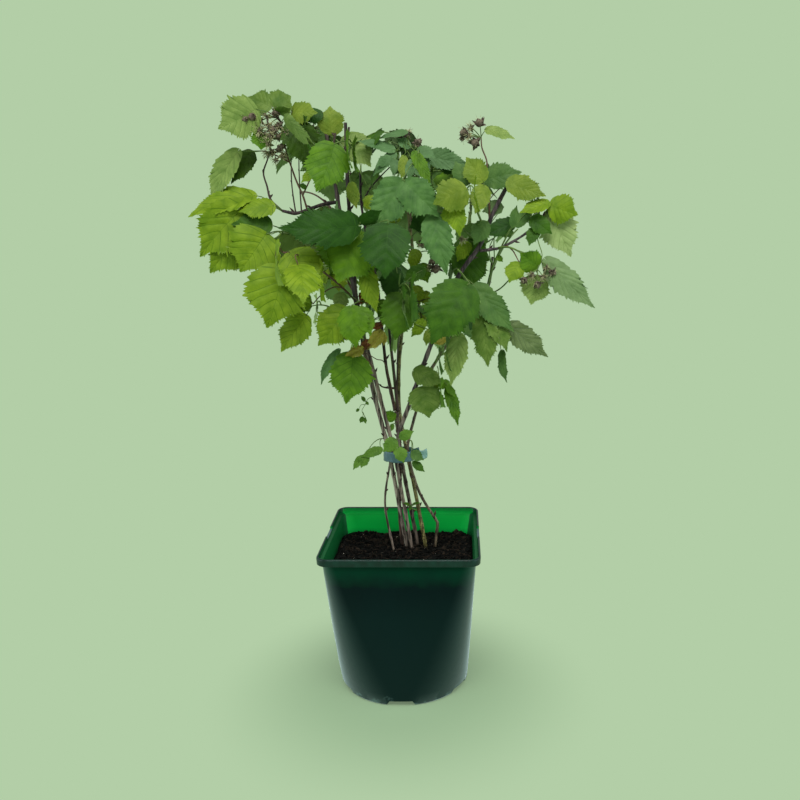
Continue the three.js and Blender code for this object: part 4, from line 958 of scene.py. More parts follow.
def ring_faces(rings, sides):
    """Quads over rings of equal length."""
    a = np.arange(sides)
    b = (a + 1) % sides
    step = np.arange(rings - 1)[:, None] * sides
    return np.stack([a + step, b + step, b + step + sides, a + step + sides], 2).reshape(-1, 4)


def rings_round(path, radii, sides, relief=None):
    """Rings of points round a path; `relief` gives each ring's swelling by step and angle."""
    path = np.asarray(path, float)
    ahead = np.vstack([path[1:], path[-1:]])
    behind = np.vstack([path[:1], path[:-1]])
    tangents = ahead - behind
    tangents /= np.linalg.norm(tangents, axis=1)[:, None]
    angles = np.arange(sides) / sides * 2 * math.pi
    side = vec(1, 0, 0) if abs(tangents[0][0]) < 0.9 else vec(0, 1, 0)
    rings = []
    for step, (point, tangent, radius) in enumerate(zip(path, tangents, radii)):
        side = unit(side - tangent * (side @ tangent))
        up = np.cross(tangent, side)
        reach = radius * (1 + (relief(step, angles) if relief else 0 * angles))
        rings.append(point + np.outer(reach * np.cos(angles), side) + np.outer(reach * np.sin(angles), up))
    return np.vstack(rings)


def add_tube(heap, path, radii, sides, tint, relief=None, end_tint=None):
    """A closed tube along a path, with its cut ends in a tint of their own where one is given."""
    rings = rings_round(path, radii, sides, relief)
    heap.add(rings, ring_faces(len(path), sides), tint)
    first, last = heap.count - len(rings), heap.count - sides
    ends = np.array([np.arange(sides)[::-1] + first, np.arange(sides) + last])
    heap.cover(ends, tint if end_tint is None else end_tint)


def add_spindle(heap, foot, direction, length, radius, tint, sides=5, shape=(0.7, 1.0, 0.6)):
    """A bud, spine or stamen: a small pointed body on its foot."""
    steps = len(shape)
    path = [foot + direction * length * (i / steps) for i in range(steps)] + [foot + direction * length]
    radii = [radius * width for width in shape] + [radius * 0.05]
    add_tube(heap, path, radii, sides, tint)


# ---- Colours and materials ----

def linear(code):
    """An sRGB hex code as linear red, green, blue and full opacity."""
    channels = [int(code[i:i + 2], 16) / 255 for i in (1, 3, 5)]
    return (*[c / 12.92 if c <= 0.04045 else ((c + 0.055) / 1.055) ** 2.4 for c in channels], 1.0)


def add(tree, kind, inputs=None, stops=(), output=0, **settings):
    """Adds a node with its settings, links and ramp stops, and gives back one of its outputs."""
    node = tree.nodes.new("ShaderNode" + kind)
    for key, value in settings.items():
        setattr(node, key, value)
    for key, value in (inputs or {}).items():
        if isinstance(value, bpy.types.NodeSocket):
            tree.links.new(value, node.inputs[key])
        else:
            node.inputs[key].default_value = value
    while stops and len(node.color_ramp.elements) < len(stops):
        node.color_ramp.elements.new(0.5)
    for stop, (place, code) in enumerate(stops):
        element = node.color_ramp.elements[stop]
        element.position, element.color = place, linear(code)
    return node.outputs[output]


def new_material(name, roughness, ior=1.45, **sockets):
    """A material with its shader's plain sockets set; returns it, its tree and its shader."""
    material = bpy.data.materials.new(name)
    material.use_nodes = True
    shader = material.node_tree.nodes["Principled BSDF"]
    for key, value in {"Roughness": roughness, "IOR": ior, **sockets}.items():
        shader.inputs[key.replace("_", " ")].default_value = value
    return material, material.node_tree, shader


def mottled(name, tones, grain, roughness, wrinkle, depth, **sockets):
    """A natural surface: one tone, or two in patches `grain` mm wide, and wrinkles `wrinkle` mm wide."""
    material, tree, shader = new_material(name, roughness, **sockets)
    place = add(tree, "TexCoord", output="Object")
    if len(tones) > 1:
        patches = add(tree, "TexNoise", {"Vector": place, "Scale": 1 / (grain * MM), "Detail": 3.0})
        colour = add(tree, "ValToRGB", {"Fac": patches}, [(0.3, tones[0]), (0.7, tones[1])])
        tree.links.new(colour, shader.inputs["Base Color"])
    else:
        shader.inputs["Base Color"].default_value = linear(tones[0])
    rough = add(tree, "TexNoise", {"Vector": place, "Scale": 1 / (wrinkle * MM), "Detail": 4.0})
    bump = add(tree, "Bump", {"Height": rough, "Strength": 1.0, "Distance": depth * MM})
    tree.links.new(bump, shader.inputs["Normal"])
    return material


# Living raspberry leaf: matt, finely wrinkled blades, in the greens of young to old leaves, with painted
# light and shade: shade is darkened for leaves that hang in shadow, light paled for leaves meant to look lit.
TINTS = {
    "lime": ("#5a780e", "#78921c", "#51700a", "#8ba25c"),
    "spring": ("#3e640c", "#587e16", "#3a5e0c", "#7d9a54"),
    "meadow": ("#2a4c0a", "#3e6412", "#345a12", "#728f50"),
    "forest": ("#1a3c08", "#29500e", "#29500e", "#65854c"),
    "sage": ("#3e602a", "#567638", "#4a6c32", "#869e70"),
    "fading": ("#566f1c", "#76892e", "#5c741e", "#8d9e66"),
    "young": ("#42661c", "#5e822e", "#4a6e22", "#8ea870"),
    "yellow": ("#7e7c26", "#9a923c", "#94884a", "#a59c66"),
    "rust": ("#4a260e", "#6b3f1c", "#7a5630", "#644628"),
    "olive": ("#3e6206", "#567c0e", "#446a08", "#768f4e"),
    "deep": ("#305006", "#43680a", "#3a5c0a", "#6c8446"),
    "shade": ("#284006", "#3a580c", "#34500c", "#6c8446"),
    "blue": ("#365a28", "#52783a", "#446a30", "#7a966a"),
    "pale": ("#627c38", "#82984e", "#5e7836", "#9bae80"),
    "grey": ("#5b7646", "#738d5a", "#647d50", "#9aac88"),
    "mist": ("#446638", "#5e8050", "#4e7042", "#869e78"),
    "dusty": ("#42601c", "#647c34", "#4a661e", "#869a60"),
    "light": ("#7d9454", "#97ab6c", "#75894e", "#aabb94"),
    "dull": ("#4c6034", "#647648", "#4e603c", "#889670"),
}
# How strongly a leaf is quilted between its veins: old dark leaves are nearly flat.
QUILTED = {"forest": 0.35, "deep": 0.4, "shade": 0.4, "blue": 0.9, "meadow": 0.5, "olive": 0.5,
           "sage": 0.6, "mist": 0.6}
QUILTED_ELSE = 0.85
TINT_ORDER = list(TINTS)
# A tint's materials stand in this order: blade, vein, underside.
LOOKS_PER_TINT, UNDERSIDE = 3, 2
leaf_materials = []
for tint, (dark, light, vein, under) in TINTS.items():
    leaf_materials += [
        mottled(f"{tint} leaf blade, wrinkled", (dark, light), 9, 0.55, 1.3, 0.3, Specular_IOR_Level=0.18),
        mottled(f"{tint} leaf vein, smooth", (vein,), 9, 0.55, 1.5, 0.05, Specular_IOR_Level=0.18),
        mottled(f"{tint} leaf underside, felted", (under,), 6, 0.85, 0.8, 0.2, Specular_IOR_Level=0.2),
    ]


# ---- Leaves ----

BROADER = 1.04  # a leaflet's full width with its teeth, against the plain width of the growth rule
TIP = {"start": 0.66, "over": 0.24, "narrower": 0.52}  # where a leaflet draws out to its tip


def outline(t):
    """Half the width of a leaflet at its edge: a round foot and a drawn-out tip."""
    t = np.clip(t, 0, 1)
    near_tip = np.clip((t - TIP["start"]) / TIP["over"], 0, 1)
    narrowing = 1 - TIP["narrower"] * near_tip ** 2 * (3 - 2 * near_tip)
    return BROADER * LEAF["half_width"] * np.maximum(np.sin(math.pi * t ** 0.7), 0) ** 0.72 * narrowing


# One side vein's stretch of the edge: how far along it, how far the edge stands out, how far that is
# pushed towards the tip, the height of the blade between veins, and whether the row starts a vein.
TOOTHED_STRETCH = [
    (0.0, 0.1, 0.03, -1.0, 1), (0.09, 0.09, 0.028, -0.9, 0), (0.26, -0.06, 0, 0.3, 0),
    (0.42, 0.03, 0.012, 0.8, 0), (0.55, -0.04, 0, 1.0, 0), (0.7, 0.06, 0.018, 0.8, 0),
    (0.87, -0.065, 0, 0.2, 0),
]
PLAIN_STRETCH = [(0.0, 0.1, 0.03, -1.0, 0), (0.45, -0.05, 0, 0.9, 0), (0.7, 0.04, 0.015, 0.6, 0)]
# How far out the columns of a leaflet's mesh stand, as shares of its half width.
FINE = (-1, -0.9, -0.68, -0.4, -0.18, -0.011, 0.011, 0.18, 0.4, 0.68, 0.9, 1)
MIDDLE = (-1, -0.76, -0.38, -0.012, 0.012, 0.38, 0.76, 1)
PLAIN = (-1, -0.5, 0, 0.5, 1)


def leaflet_pattern(veins, stretch, columns):
    """A leaflet's rows and columns: rows run out along the side veins to the teeth of the edge."""
    rows = [(0.0, 0, 0, 0, 0), (0.006, 0, 0, 0, 0), (0.018, 0, 0, 0, 0)]
    for k in range(veins):
        rows += [((k + 0.3 + along_it) / (veins + 0.3), *rest) for along_it, *rest in stretch]
    rows.append((1.0, 0, 0, 0, 0))
    q, tooth, push, height, is_vein = [np.array(column)[:, None] for column in zip(*rows)]
    columns = np.array(columns)[None, :]
    s = np.abs(columns)
    # A row leaves the midrib at `middle` and reaches the edge further on, at `margin`.
    middle = q ** 1.25
    margin = q + 0.42 * (1 - q) * np.sin(math.pi / 2 * np.minimum(1, q / 0.42))
    t = middle + (margin - middle) * s ** 1.2 - 0.05 * s ** 1.5 * np.exp(-(q / 0.12) ** 2)
    width = outline(margin) * (1 - q ** 30)
    x = np.sign(columns) * np.maximum(s * width, 0.006 * s + 0.002)
    swell = np.clip((s - 0.011) / 0.22, 0, 1) * (1 - 0.8 * s ** 3)
    bulge = height * swell - 0.6 * (s < 0.02)
    count, cols = x.shape
    first = (np.arange(count - 1)[:, None] * cols + np.arange(cols - 1)).ravel()
    top = np.stack([first, first + 1, first + cols + 1, first + cols], 1)
    veined = np.zeros((count - 1, cols - 1), int)
    veined[is_vein[:-1, 0] > 0, 1:-1] = 1
    if cols % 2 == 0:
        veined[:, cols // 2 - 1] = 1
    rim = np.zeros((count, cols), bool)
    rim[[0, -1]] = rim[:, [0, -1]] = True
    # The underside has its own inner corners and shares those of the rim.
    under = np.arange(count * cols)
    inner = np.flatnonzero(~rim.ravel())
    under[inner] = count * cols + np.arange(len(inner))
    return {"t": t, "x": x, "bulge": bulge, "tooth": tooth * s ** 8, "push": push * s ** 8,
            "inner": inner, "per_vein": len(stretch), "faces": np.vstack([top, under[top][:, ::-1]]),
            "tints": np.concatenate([veined.ravel(), np.full(len(top), UNDERSIDE)]),
            "rim": np.concatenate([rim.ravel(), np.zeros(len(inner), bool)])}


# Patterns by how closely a leaflet is seen, then by its least length in millimetres.
MIDDLE_PATTERN = leaflet_pattern(5, TOOTHED_STRETCH, MIDDLE)
PATTERNS = {
    "front": [(34, leaflet_pattern(7, TOOTHED_STRETCH, FINE)),
              (20, leaflet_pattern(6, TOOTHED_STRETCH, FINE)), (0, MIDDLE_PATTERN)],
    "grown": [(0, MIDDLE_PATTERN)],
    "small": [(0, leaflet_pattern(4, PLAIN_STRETCH, PLAIN))],
}
THICKNESS = 0.32
ROUND = 6.28  # a full turn, for phases


def add_leaflet(heap, leaflet, tint, draw, crumple=0.0, looks="front"):
    """A leaflet from its foot, tip, normal and half width, each a little different."""
    foot, tip, normal, half = leaflet
    length = math.dist(foot, tip)
    forward = (tip - foot) / length
    pattern = next(pattern for least, pattern in PATTERNS[looks] if length >= least)
    across = np.cross(normal, forward)
    dice = np.random.default_rng(int(draw() * 1e6))
    rows, cols = pattern["x"].shape
    each_half = (np.arange(cols) * 2 >= cols).astype(int)
    each = dice.uniform(0.5, 1.5, (rows, 2))[:, each_half]
    uneven = dice.normal(0, 0.003, (rows, cols)) * (pattern["tooth"] != 0)
    t = (pattern["t"] + pattern["push"] * each + uneven).ravel()
    x = (pattern["x"] * (1 + pattern["tooth"] * each) * half / LEAF["half_width"]).ravel()
    step = pattern["per_vein"]
    stretch = dice.uniform(0.4, 1.4, (rows // step + 2, 2)).repeat(step, 0)
    bulge = (pattern["bulge"] * stretch[step // 2:rows + step // 2, each_half]).ravel()
    # Each half is a little wider or narrower, wavy along its edge, and bent its own way.
    x = x * np.where(x > 0, dice.uniform(0.88, 1.08), dice.uniform(0.88, 1.08))
    shifts = dice.uniform(0, ROUND, 4)
    x = x * (1 + 0.05 * np.sin(10 * t + np.where(x > 0, shifts[0], shifts[1]))
             + 0.045 * np.sin(21 * t + np.where(x > 0, shifts[2], shifts[3])))
    fold, sag = dice.uniform(0.2, 1.2, 2), dice.uniform(0.1, 1.2, 2)
    side = (x > 0).astype(int)
    twist, wave, phase = (draw() - 0.5) * 0.5, dice.uniform(0.012, 0.034), draw() * ROUND
    lift = (mixed(0.4, 1.6, draw()) * LEAF["curl"] * length * t * (1 - t)
            + np.abs(x) * LEAF["fold"] * fold[side] - 0.6 * x * x / length * sag[side]
            + bulge * length * 0.0048 * QUILTED.get(tint, QUILTED_ELSE) + twist * x * (t - 0.3)
            + wave * length * np.sin(8 * t + phase + 2 * side) * np.abs(x / length) * 3
            + 0.005 * length * np.sin(31 * t + phase) * np.cos(25 * x / length + phase))
    if crumple:
        lift = lift + crumple * length * (np.sin(14 * t + phase) * 0.5 + np.cos(22 * x / length + phase))
        x = x * (1 - crumple * 2.2)
    bow = (draw() - 0.5) * 0.26 * length
    points = (foot + np.outer(t * length, forward) + np.outer(lift, normal)
              + np.outer(x + bow * t * (1 - t), across))
    lower = points[pattern["inner"]] - normal * THICKNESS
    tints = TINT_ORDER.index(tint) * LOOKS_PER_TINT + pattern["tints"]
    heap.add(np.vstack([points, lower]), pattern["faces"], tints, pattern["rim"])


def grown_leaflet(foot, forward, normal, length):
    """A leaflet of the growth rule, with its curled tip, by foot and tip."""
    tip = foot + forward * length - normal * LEAF["curl"] * length
    chord = unit(tip - foot)
    return foot, tip, unit(normal - chord * (normal @ chord)), LEAF["half_width"] * length


# The tints that a shoot of each tint deals out to its leaves.
GREENS = {
    "lime": ["lime", "lime", "lime", "spring", "fading"],
    "spring": ["spring", "spring", "meadow", "lime"],
    "meadow": ["meadow", "meadow", "spring", "forest"],
    "forest": ["forest", "forest", "meadow"],
    "sage": ["sage", "sage", "meadow"],
    "fading": ["fading", "fading", "lime", "spring"],
    "young": ["young"],
}
# The crown's sides, by how the names of their shoots begin.
SIDES = {"left": "left low_left top_left",
         "right": "right low_right low_small fruit upper_right",
         "middle": "front centre_dark centre_low centre_front upper_front top_centre sprout",
         "back": "upper_back centre_back back low_back"}
LEFT_TO, MIDDLE_TO = 330, 450  # how far the left and the middle of the crown reach in the view


def side_of(name):
    for side, starts in SIDES.items():
        if name.startswith(tuple(starts.split())) and (side == "back" or "back" not in name):
            return side
    return "back"


# The kinds of stalks and twigs, as their places among the stalk materials.
STALKS = {"green": 0, "red": 1, "bare": 2}
GREEN, RED, BARE = STALKS.values()
leaf_heaps = {side: Heap() for side in SIDES}
twig_heap, husk_heap = Heap(), Heap()


def add_stalk(path, foot, end, tint, sides=5):
    """A stalk that thins out evenly along its path."""
    add_tube(twig_heap, path, np.linspace(foot, end, len(path)), sides, tint)


def hang_leaflets(heap, joint, blades, tint, draw, width, stem_tint, crumple=0.0, sag=None):
    """Leaflets, each with a short stalk of its own where its foot stands off the joint."""
    for foot, tip, normal, half in blades:
        if math.dist(foot, joint) > 1:
            bend = [] if sag is None else [mixed(joint, foot, 0.5) + vec(0, 0, sag)]
            add_stalk([joint, *bend, foot], width * 0.8, width * (0.7 if sag is None else 0.6), stem_tint)
        add_leaflet(heap, (foot, tip, normal, half), tint, draw, crumple)


def dress(shoot):
    """A shoot's stem, its leaves with their petioles, and its fruit."""
    draw = seeded(shoot["seed"] * 17 + 3)
    side = side_of(shoot["name"])
    heap, stem, young = leaf_heaps[side], shoot["fine"], is_sprout(shoot)
    stem_tint = GREEN if young or draw() < 0.55 or side in ("middle", "right") else RED
    thick = 0.8 if young else 1.25
    if not (shoot["leaves"] or shoot["small"] or shoot["fruit"]):
        stem = stem[:max([leaf["near"] for _, leaf in shoot["hanging"]], default=0) + 1]
    if len(stem) > 1:
        add_stalk(stem, thick, thick * 0.6, stem_tint, 6)
    for tint, leaf in shoot["hanging"]:
        petiole, blades = leaf["petiole"], leaf["blades"]
        width = 0.45 if max(half for *_, half in blades) < 9 else 0.65
        add_stalk(petiole, width * 1.2, width * 0.8, stem_tint)
        crumple = 0.05 if tint in ("rust", "yellow") else 0
        hang_leaflets(heap, petiole[-1], blades, tint, draw, width, stem_tint, crumple, 0.4)
    greens = GREENS[shoot["tint"]]
    for kind in ("leaves", "edge", "small"):
        width, looks = (0.45, "small") if kind == "small" else (0.62, "grown")
        for petiole, leaflets in shoot[kind]:
            tint = greens[int(draw() * len(greens))]
            path = smooth_path([*petiole, leaflets[0][0]], 7)
            add_stalk(path, width * 1.2, width * 0.7, stem_tint if draw() < 0.6 else GREEN)
            for leaflet in leaflets:
                add_leaflet(heap, grown_leaflet(*leaflet), tint, draw, 0, looks)
    for foot, end in shoot["fruit"]:
        add_stalk(smooth_path([foot, mixed(foot, end, 0.5) + vec(0, 0, 1.2), end], 5), 0.6, 0.45, GREEN)
        add_husk(end, unit(end - foot), draw, 1.1, "cup" if draw() < 0.6 else "tuft")


# Husks by kind: the cup's radius and tint, the sepals' number and tint, how far they lean back or
# forward at least and at most, and the number of stamens.
HUSK_WORDS = ("cup", "tint", "sepals", "sepal_tint", "back", "forward", "stamens")
HUSK_KINDS = {"cup": (2.5, 0, 7, 0, -0.1, 1.6, 7), "tuft": (1.5, 0, 5, 1, -0.9, 0.5, 34),
              "dry": (1.7, 3, 5, 3, -0.9, 0.5, 5)}
STAMEN = 2  # the stamens' place among the husk materials
# A sepal's faces over its corners: foot left and right, middle right and left, tip, and two below.
SEPAL = [(0, 1, 2), (0, 2, 3), (3, 2, 4), (0, 3, 6), (0, 6, 5), (1, 5, 6), (1, 6, 2), (3, 4, 6), (2, 6, 4),
         (0, 5, 1)]


def add_husk(point, direction, draw, size=1.0, kind="cup"):
    """A spent flower: a browned cup, pointed sepals bent back, and a tuft of dry stamens."""
    looks = dict(zip(HUSK_WORDS, HUSK_KINDS[kind]))
    side = unit(np.cross(direction, vec(0.3, 0.2, 1)))
    cup = looks["cup"] * size
    add_spindle(husk_heap, point - direction, direction, cup * 2, cup, looks["tint"], 7, (0.6, 1.0, 0.8))
    for k in range(looks["sepals"]):
        outward = turned(side, direction, 360 / looks["sepals"] * k + 30 * draw())
        tip = unit(outward + direction * mixed(looks["back"], looks["forward"], draw()))
        foot = point + outward * cup * 0.5
        across = np.cross(direction, outward)
        length, wide = mixed(3.2, 5.2, draw()) * size, mixed(1.1, 1.8, draw()) * size
        middle = foot + tip * length * 0.45
        corners = [foot - across * wide, foot + across * wide, middle + across * wide * 0.85,
                   middle - across * wide * 0.85, foot + tip * length - direction * 1.0 * draw(),
                   foot - direction * 0.5, middle - direction * 0.45]
        husk_heap.add(corners, SEPAL, looks["sepal_tint"] if draw() < 0.7 else 0)
    for _ in range(looks["stamens"]):
        outward = turned(side, direction, 360 * draw())
        aim = unit(direction + outward * mixed(0.2, 1.9, draw()))
        bent = unit(aim + vec(draw() - 0.5, draw() - 0.5, draw() - 0.7) * 1.1)
        length = mixed(2.4, 5.6, draw()) * size
        foot = point + outward * 1.1
        knee = foot + aim * length * 0.6
        add_tube(husk_heap, [foot, knee, knee + bent * length * 0.6], [0.24, 0.2, 0.12], 3,
                 STAMEN if draw() < 0.75 else 0)


def arched(start, end, rise, steps):
    """A path that arches up by this share of its length."""
    return bezier(start, mixed(start, end, 0.5) + vec(0, 0, rise * math.dist(start, end)), end, steps)


def dress_twigs():
    """The twigs with their buds, their husks and their small leaves."""
    draw = seeded(77)
    for name, (kind, foot, end, _, _) in TWIGS.items():
        path = carriers[name]
        radii = np.linspace(foot, end, len(path)) * np.array([1 + 0.14 * (draw() - 0.5) for _ in path])
        add_tube(twig_heap, path, radii, 7, STALKS[kind])
        for share in (0.3, 0.62) if kind == "bare" and foot > 0.7 else ():
            aim = unit(vec(draw() - 0.5, draw() - 0.5, 0.7))
            add_spindle(twig_heap, curve_point(path, share), aim, 2.6, 0.8, BARE, 5)
    for carrier, leaves_at, husks in HUSKS:
        for *place, size, kind in husks:
            point = sight(*place)
            path = arched(foot_at(carrier, *leaves_at), point, 0.2, 5)
            add_stalk(path, 0.5, 0.4, RED if kind == "dry" else GREEN)
            direction = unit(unit(path[-1] - path[-2]) + vec(draw() - 0.5, -0.5, draw() - 0.6) * 0.8)
            add_husk(point, direction, draw, size, kind)
    for carrier, *places, tint, leaflets in LEAVES_ON:
        joint_at = places[-1]
        joint = sight(*joint_at)
        path = arched(foot_at(carrier, *places[0][:2]), joint, 0.1, 6)
        width = 0.6 if leaflets[0][4] > 14 else 0.4
        add_stalk(path, width * 1.2, width * 0.8, GREEN if draw() < 0.6 else RED)
        side = "left" if joint_at[0] < LEFT_TO else "middle" if joint_at[0] < MIDDLE_TO else "right"
        hang_leaflets(leaf_heaps[side], joint, blades_at(joint_at[2], leaflets), tint, draw, width, GREEN)


dress_twigs()
for shoot in shoots:
    dress(shoot)

for side, heap in leaf_heaps.items():
    nodes = [solid_of(shoot) for shoot in shoots if side_of(shoot["name"]) == side]
    heap.piece(f"leaves_{side}", "leaf_and_twig", leaf_materials, nodes)
# Leaf stalks: green ones fresh and smooth, red ones turned by the sun, bare ones dead and dry.
stalk_materials = [
    mottled("green stalk, downy", ("#4a6426", "#66803a"), 7, 0.55, 1.0, 0.08),
    mottled("reddened stalk, downy", ("#523a2a", "#6a4e3c"), 7, 0.55, 1.0, 0.08),
    mottled("bare twig, dry bark", ("#352a24", "#4b3c33"), 5, 0.8, 0.8, 0.15),
]
twig_heap.piece("leaf_stalks", "leaf_and_twig", stalk_materials, [solid_of(shoot) for shoot in shoots])
# Spent fruit: papery brown cups and sepals with pale dry stamens.
husk_materials = [
    mottled("husk cup, papery", ("#3c3228", "#7c6f5c"), 2, 0.85, 0.7, 0.2),
    mottled("sepal, papery green", ("#6c6e48", "#94986a"), 2, 0.85, 0.7, 0.2),
    mottled("stamen, dry", ("#8e8c60", "#bcba90"), 2, 0.8, 0.7, 0.05),
    mottled("sepal, bleached tan", ("#7a5a34", "#a98452"), 2, 0.85, 0.7, 0.2),
]
husk_heap.piece("fruit_husks", "leaf_and_twig", husk_materials)

# ---- Canes, forks and boughs ----

def bark(name, old, new, rise, roughness=0.75, streak=0.06, speckled=0.0):
    """Cane bark in long streaks of two tones, from the `old` tones low on the cane to the darker `new` ones
    higher up.
    """
    material, tree, shader = new_material(name, roughness)
    place = add(tree, "TexCoord", output="Object")
    height = add(tree, "SeparateXYZ", {"Vector": place}, output="Z")
    drawn = add(tree, "Mapping", {"Vector": place, "Scale": (1, 1, streak)})
    streaks = add(tree, "TexNoise", {"Vector": drawn, "Scale": 1 / (2.2 * MM), "Detail": 3.0})
    below, above = [add(tree, "ValToRGB", {"Fac": streaks}, [(0.4, dark), (0.62, light)])
                    for dark, light in (old, new)]
    level = add(tree, "MapRange", {
        "Value": height, "From Min": rise[0] * MM, "From Max": rise[1] * MM})
    colour = add(tree, "Mix", {0: level, 6: below, 7: above}, output=2, data_type="RGBA")
    if speckled:
        dots = add(tree, "TexNoise", {"Vector": place, "Scale": 1 / (1.7 * MM), "Detail": 1.0})
        share = add(tree, "MapRange", {
            "Value": dots, "From Min": 0.5, "From Max": 0.62, "To Max": speckled})
        colour = add(tree, "Mix", {0: share, 6: colour, 7: linear("#33230f")}, output=2,
                     data_type="RGBA")
    tree.links.new(colour, shader.inputs["Base Color"])
    rough = add(tree, "TexNoise", {"Vector": drawn, "Scale": 1 / (1.1 * MM), "Detail": 4.0})
    bump = add(tree, "Bump", {"Height": rough, "Strength": 1.0, "Distance": 0.3 * MM})
    tree.links.new(bump, shader.inputs["Normal"])
    return material


# Raspberry bark: first-year canes are smooth and green, older ones grey-brown and streaked lengthwise.
BARKS = {
    look: bark("cane bark, " + name, old, new, rise, *others) for look, name, old, new, rise, *others in (
        ("grey", "weathered grey", ("#32271f", "#a79a8b"), ("#241d1c", "#544742"), (300, 430)),
        ("brown", "grey brown", ("#291e18", "#8f8071"), ("#201918", "#4a3d39"), (300, 430)),
        ("dark", "dark purple brown", ("#2a1c16", "#6b5545"), ("#201818", "#443634"), (230, 380), 0.7),
        ("purple", "purple brown", ("#2b211c", "#85766a"), ("#282022", "#5c4f53"), (250, 400), 0.7),
        ("green", "young green", ("#57522a", "#99935a"), ("#464a24", "#767844"), (250, 420), 0.6, 0.2, 0.8),
        ("olive", "greenish brown", ("#34291d", "#877860"), ("#38362a", "#666248"), (260, 380), 0.7))}
CUT = mottled("cut cane end, dry pith", ("#6d5a46", "#9b8768"), 1.2, 0.9, 0.6, 0.2)
BUD = mottled("bud scales, brown", ("#2b1d19", "#4a352c"), 1.5, 0.7, 0.6, 0.2)
LIMB_LOOKS = {
    "cane_left_tall": ("grey", 36), "cane_left_front": ("brown", 31), "cane_forked": ("dark", 27),
    "cane_green": ("green", 33), "cane_right_tall": ("purple", 29), "cane_right_short": ("olive", 26),
    "cane_old_stub": ("brown", 24), "fork_arm_left": ("dark", 30), "fork_arm_right": ("dark", 28),
    "bough_left": ("dark", 17), "bough_right": ("purple", 19),
}

# A cane's swellings at its joints.
KNUCKLE = {"swell": 0.2, "length": 2.4, "to_end": 4, "vary": 0.4}
PRICKLES = {"green": 9, "others": 26}  # their spacing in mm


def bark_limb(name, look, spacing, seed):
    """A cane with knuckles at its joints, lengthwise ridges, buds and a few prickles."""
    draw = seeded(seed)
    path, _, radii = zip(*fine_limbs[name])
    walked = np.concatenate([[0], np.cumsum([math.dist(a, b) for a, b in zip(path, path[1:])])])
    joints = np.arange(spacing * 0.6, walked[-1] - KNUCKLE["to_end"], spacing)
    joints = joints + np.array([(draw() - 0.5) * spacing * KNUCKLE["vary"] for _ in joints])
    phases = [draw() * ROUND for _ in range(4)]

    def swelling(step, angles):
        at = walked[step]
        swell = sum(KNUCKLE["swell"] * math.exp(-((at - joint) / KNUCKLE["length"]) ** 2) for joint in joints)
        ridges = (0.05 * np.sin(3 * angles + at / 17 + phases[0])
                  + 0.035 * np.sin(7 * angles - at / 9 + phases[1])
                  + 0.025 * np.sin(2 * angles + at / 3.1 + phases[2]))
        return swell + ridges + 0.03 * math.sin(at / 2.3 + phases[3])

    heap = Heap()
    add_tube(heap, path, radii, 16, 0, swelling, 1)
    for k, joint in enumerate(joints):
        step = min(int(np.searchsorted(walked, joint)), len(path) - 2)
        tangent = unit(path[step + 1] - path[step])
        sideways = unit(np.cross(tangent, vec(math.cos(137 * k), math.sin(137 * k), 0.1)))
        foot = path[step] + sideways * radii[step] * 0.75
        add_spindle(heap, foot, unit(sideways + tangent * 1.1), 4.2 + draw() * 2.4, 1.15, 2, 6)
    for _ in range(int(walked[-1] / PRICKLES.get(look, PRICKLES["others"]))):
        step = int(draw() * (len(path) - 2))
        tangent = unit(path[step + 1] - path[step])
        sideways = unit(np.cross(tangent, vec(draw() - 0.5, draw() - 0.5, 0.1)))
        foot = path[step] + sideways * radii[step] * 0.8
        add_spindle(heap, foot, unit(sideways - tangent * 0.3), 1.6, 0.35, 2, 4, (1.0, 0.6))
    heap.piece(f"bark_{name}", "cane_bark", [BARKS[look], CUT, BUD], [name])


for order, (name, (look, spacing)) in enumerate(LIMB_LOOKS.items()):
    bark_limb(name, look, spacing, order + 11)


# ---- Pot ----

POT = {"height": 161.5, "foot": 67.5, "body": 75.6, "rim": 80.2, "corner": 13, "squaring": 0.75,
       "rim_corner": 12, "lip": 7.4, "wall": 1.4, "floor": 2}
CHANNEL = {"count": 6, "mouth": 30, "roof": 23, "height": 5, "inner": 36, "outer": 78, "below": -1,
           "hole": 4, "hole_at": 48}
CHANNEL_TURNS = [math.radians(i * 360 / CHANNEL["count"]) for i in range(CHANNEL["count"])]
SLOT = {"at": 79.2, "deep": 4.4, "long": 31, "high": 6.4}
AROUND = 96


def squared_ring(half, corner, z):
    """A square ring with round corners, `AROUND` points; a corner as large as `half` is a circle."""
    each = AROUND // 4
    points = []
    for i in range(AROUND):
        quarter, step = divmod(i, each)
        angle = math.radians((quarter + step / (each - 0.999)) * 90)
        side = math.radians((quarter + 0.5) * 90)
        reach = (half - corner) * math.sqrt(2)
        points.append((reach * math.cos(side) + corner * math.cos(angle),
                       reach * math.sin(side) + corner * math.sin(angle), z))
    return points


def even_ring(half, corner, z):
    """The same ring with its points even in angle, for a top whose bumps lie anywhere."""
    points = []
    for angle in np.arange(AROUND) / AROUND * 2 * math.pi:
        c, s = abs(math.cos(angle)), abs(math.sin(angle))
        reach = half / max(c, s)
        core = half - corner
        if min(c, s) * reach > core:
            near = core * (c + s)
            reach = near + math.sqrt(max(near * near - 2 * core * core + corner * corner, 0))
        points.append((reach * math.cos(angle), reach * math.sin(angle), z))
    return points


def body_size(z, inset=0.0):
    share = max(z, 0) / (POT["height"] - POT["lip"])
    half = mixed(POT["foot"], POT["body"], share)
    corner = mixed(POT["foot"], POT["corner"], share ** POT["squaring"])
    return half - inset, max(corner - inset, 1), z


def clear_selection():
    if bpy.context.mode != "OBJECT":
        bpy.ops.object.mode_set(mode="OBJECT")
    bpy.ops.object.select_all(action="DESELECT")


def pick(piece):
    """Makes a piece the only one selected, and the active one."""
    clear_selection()
    bpy.context.view_layer.objects.active = piece
    piece.select_set(True)


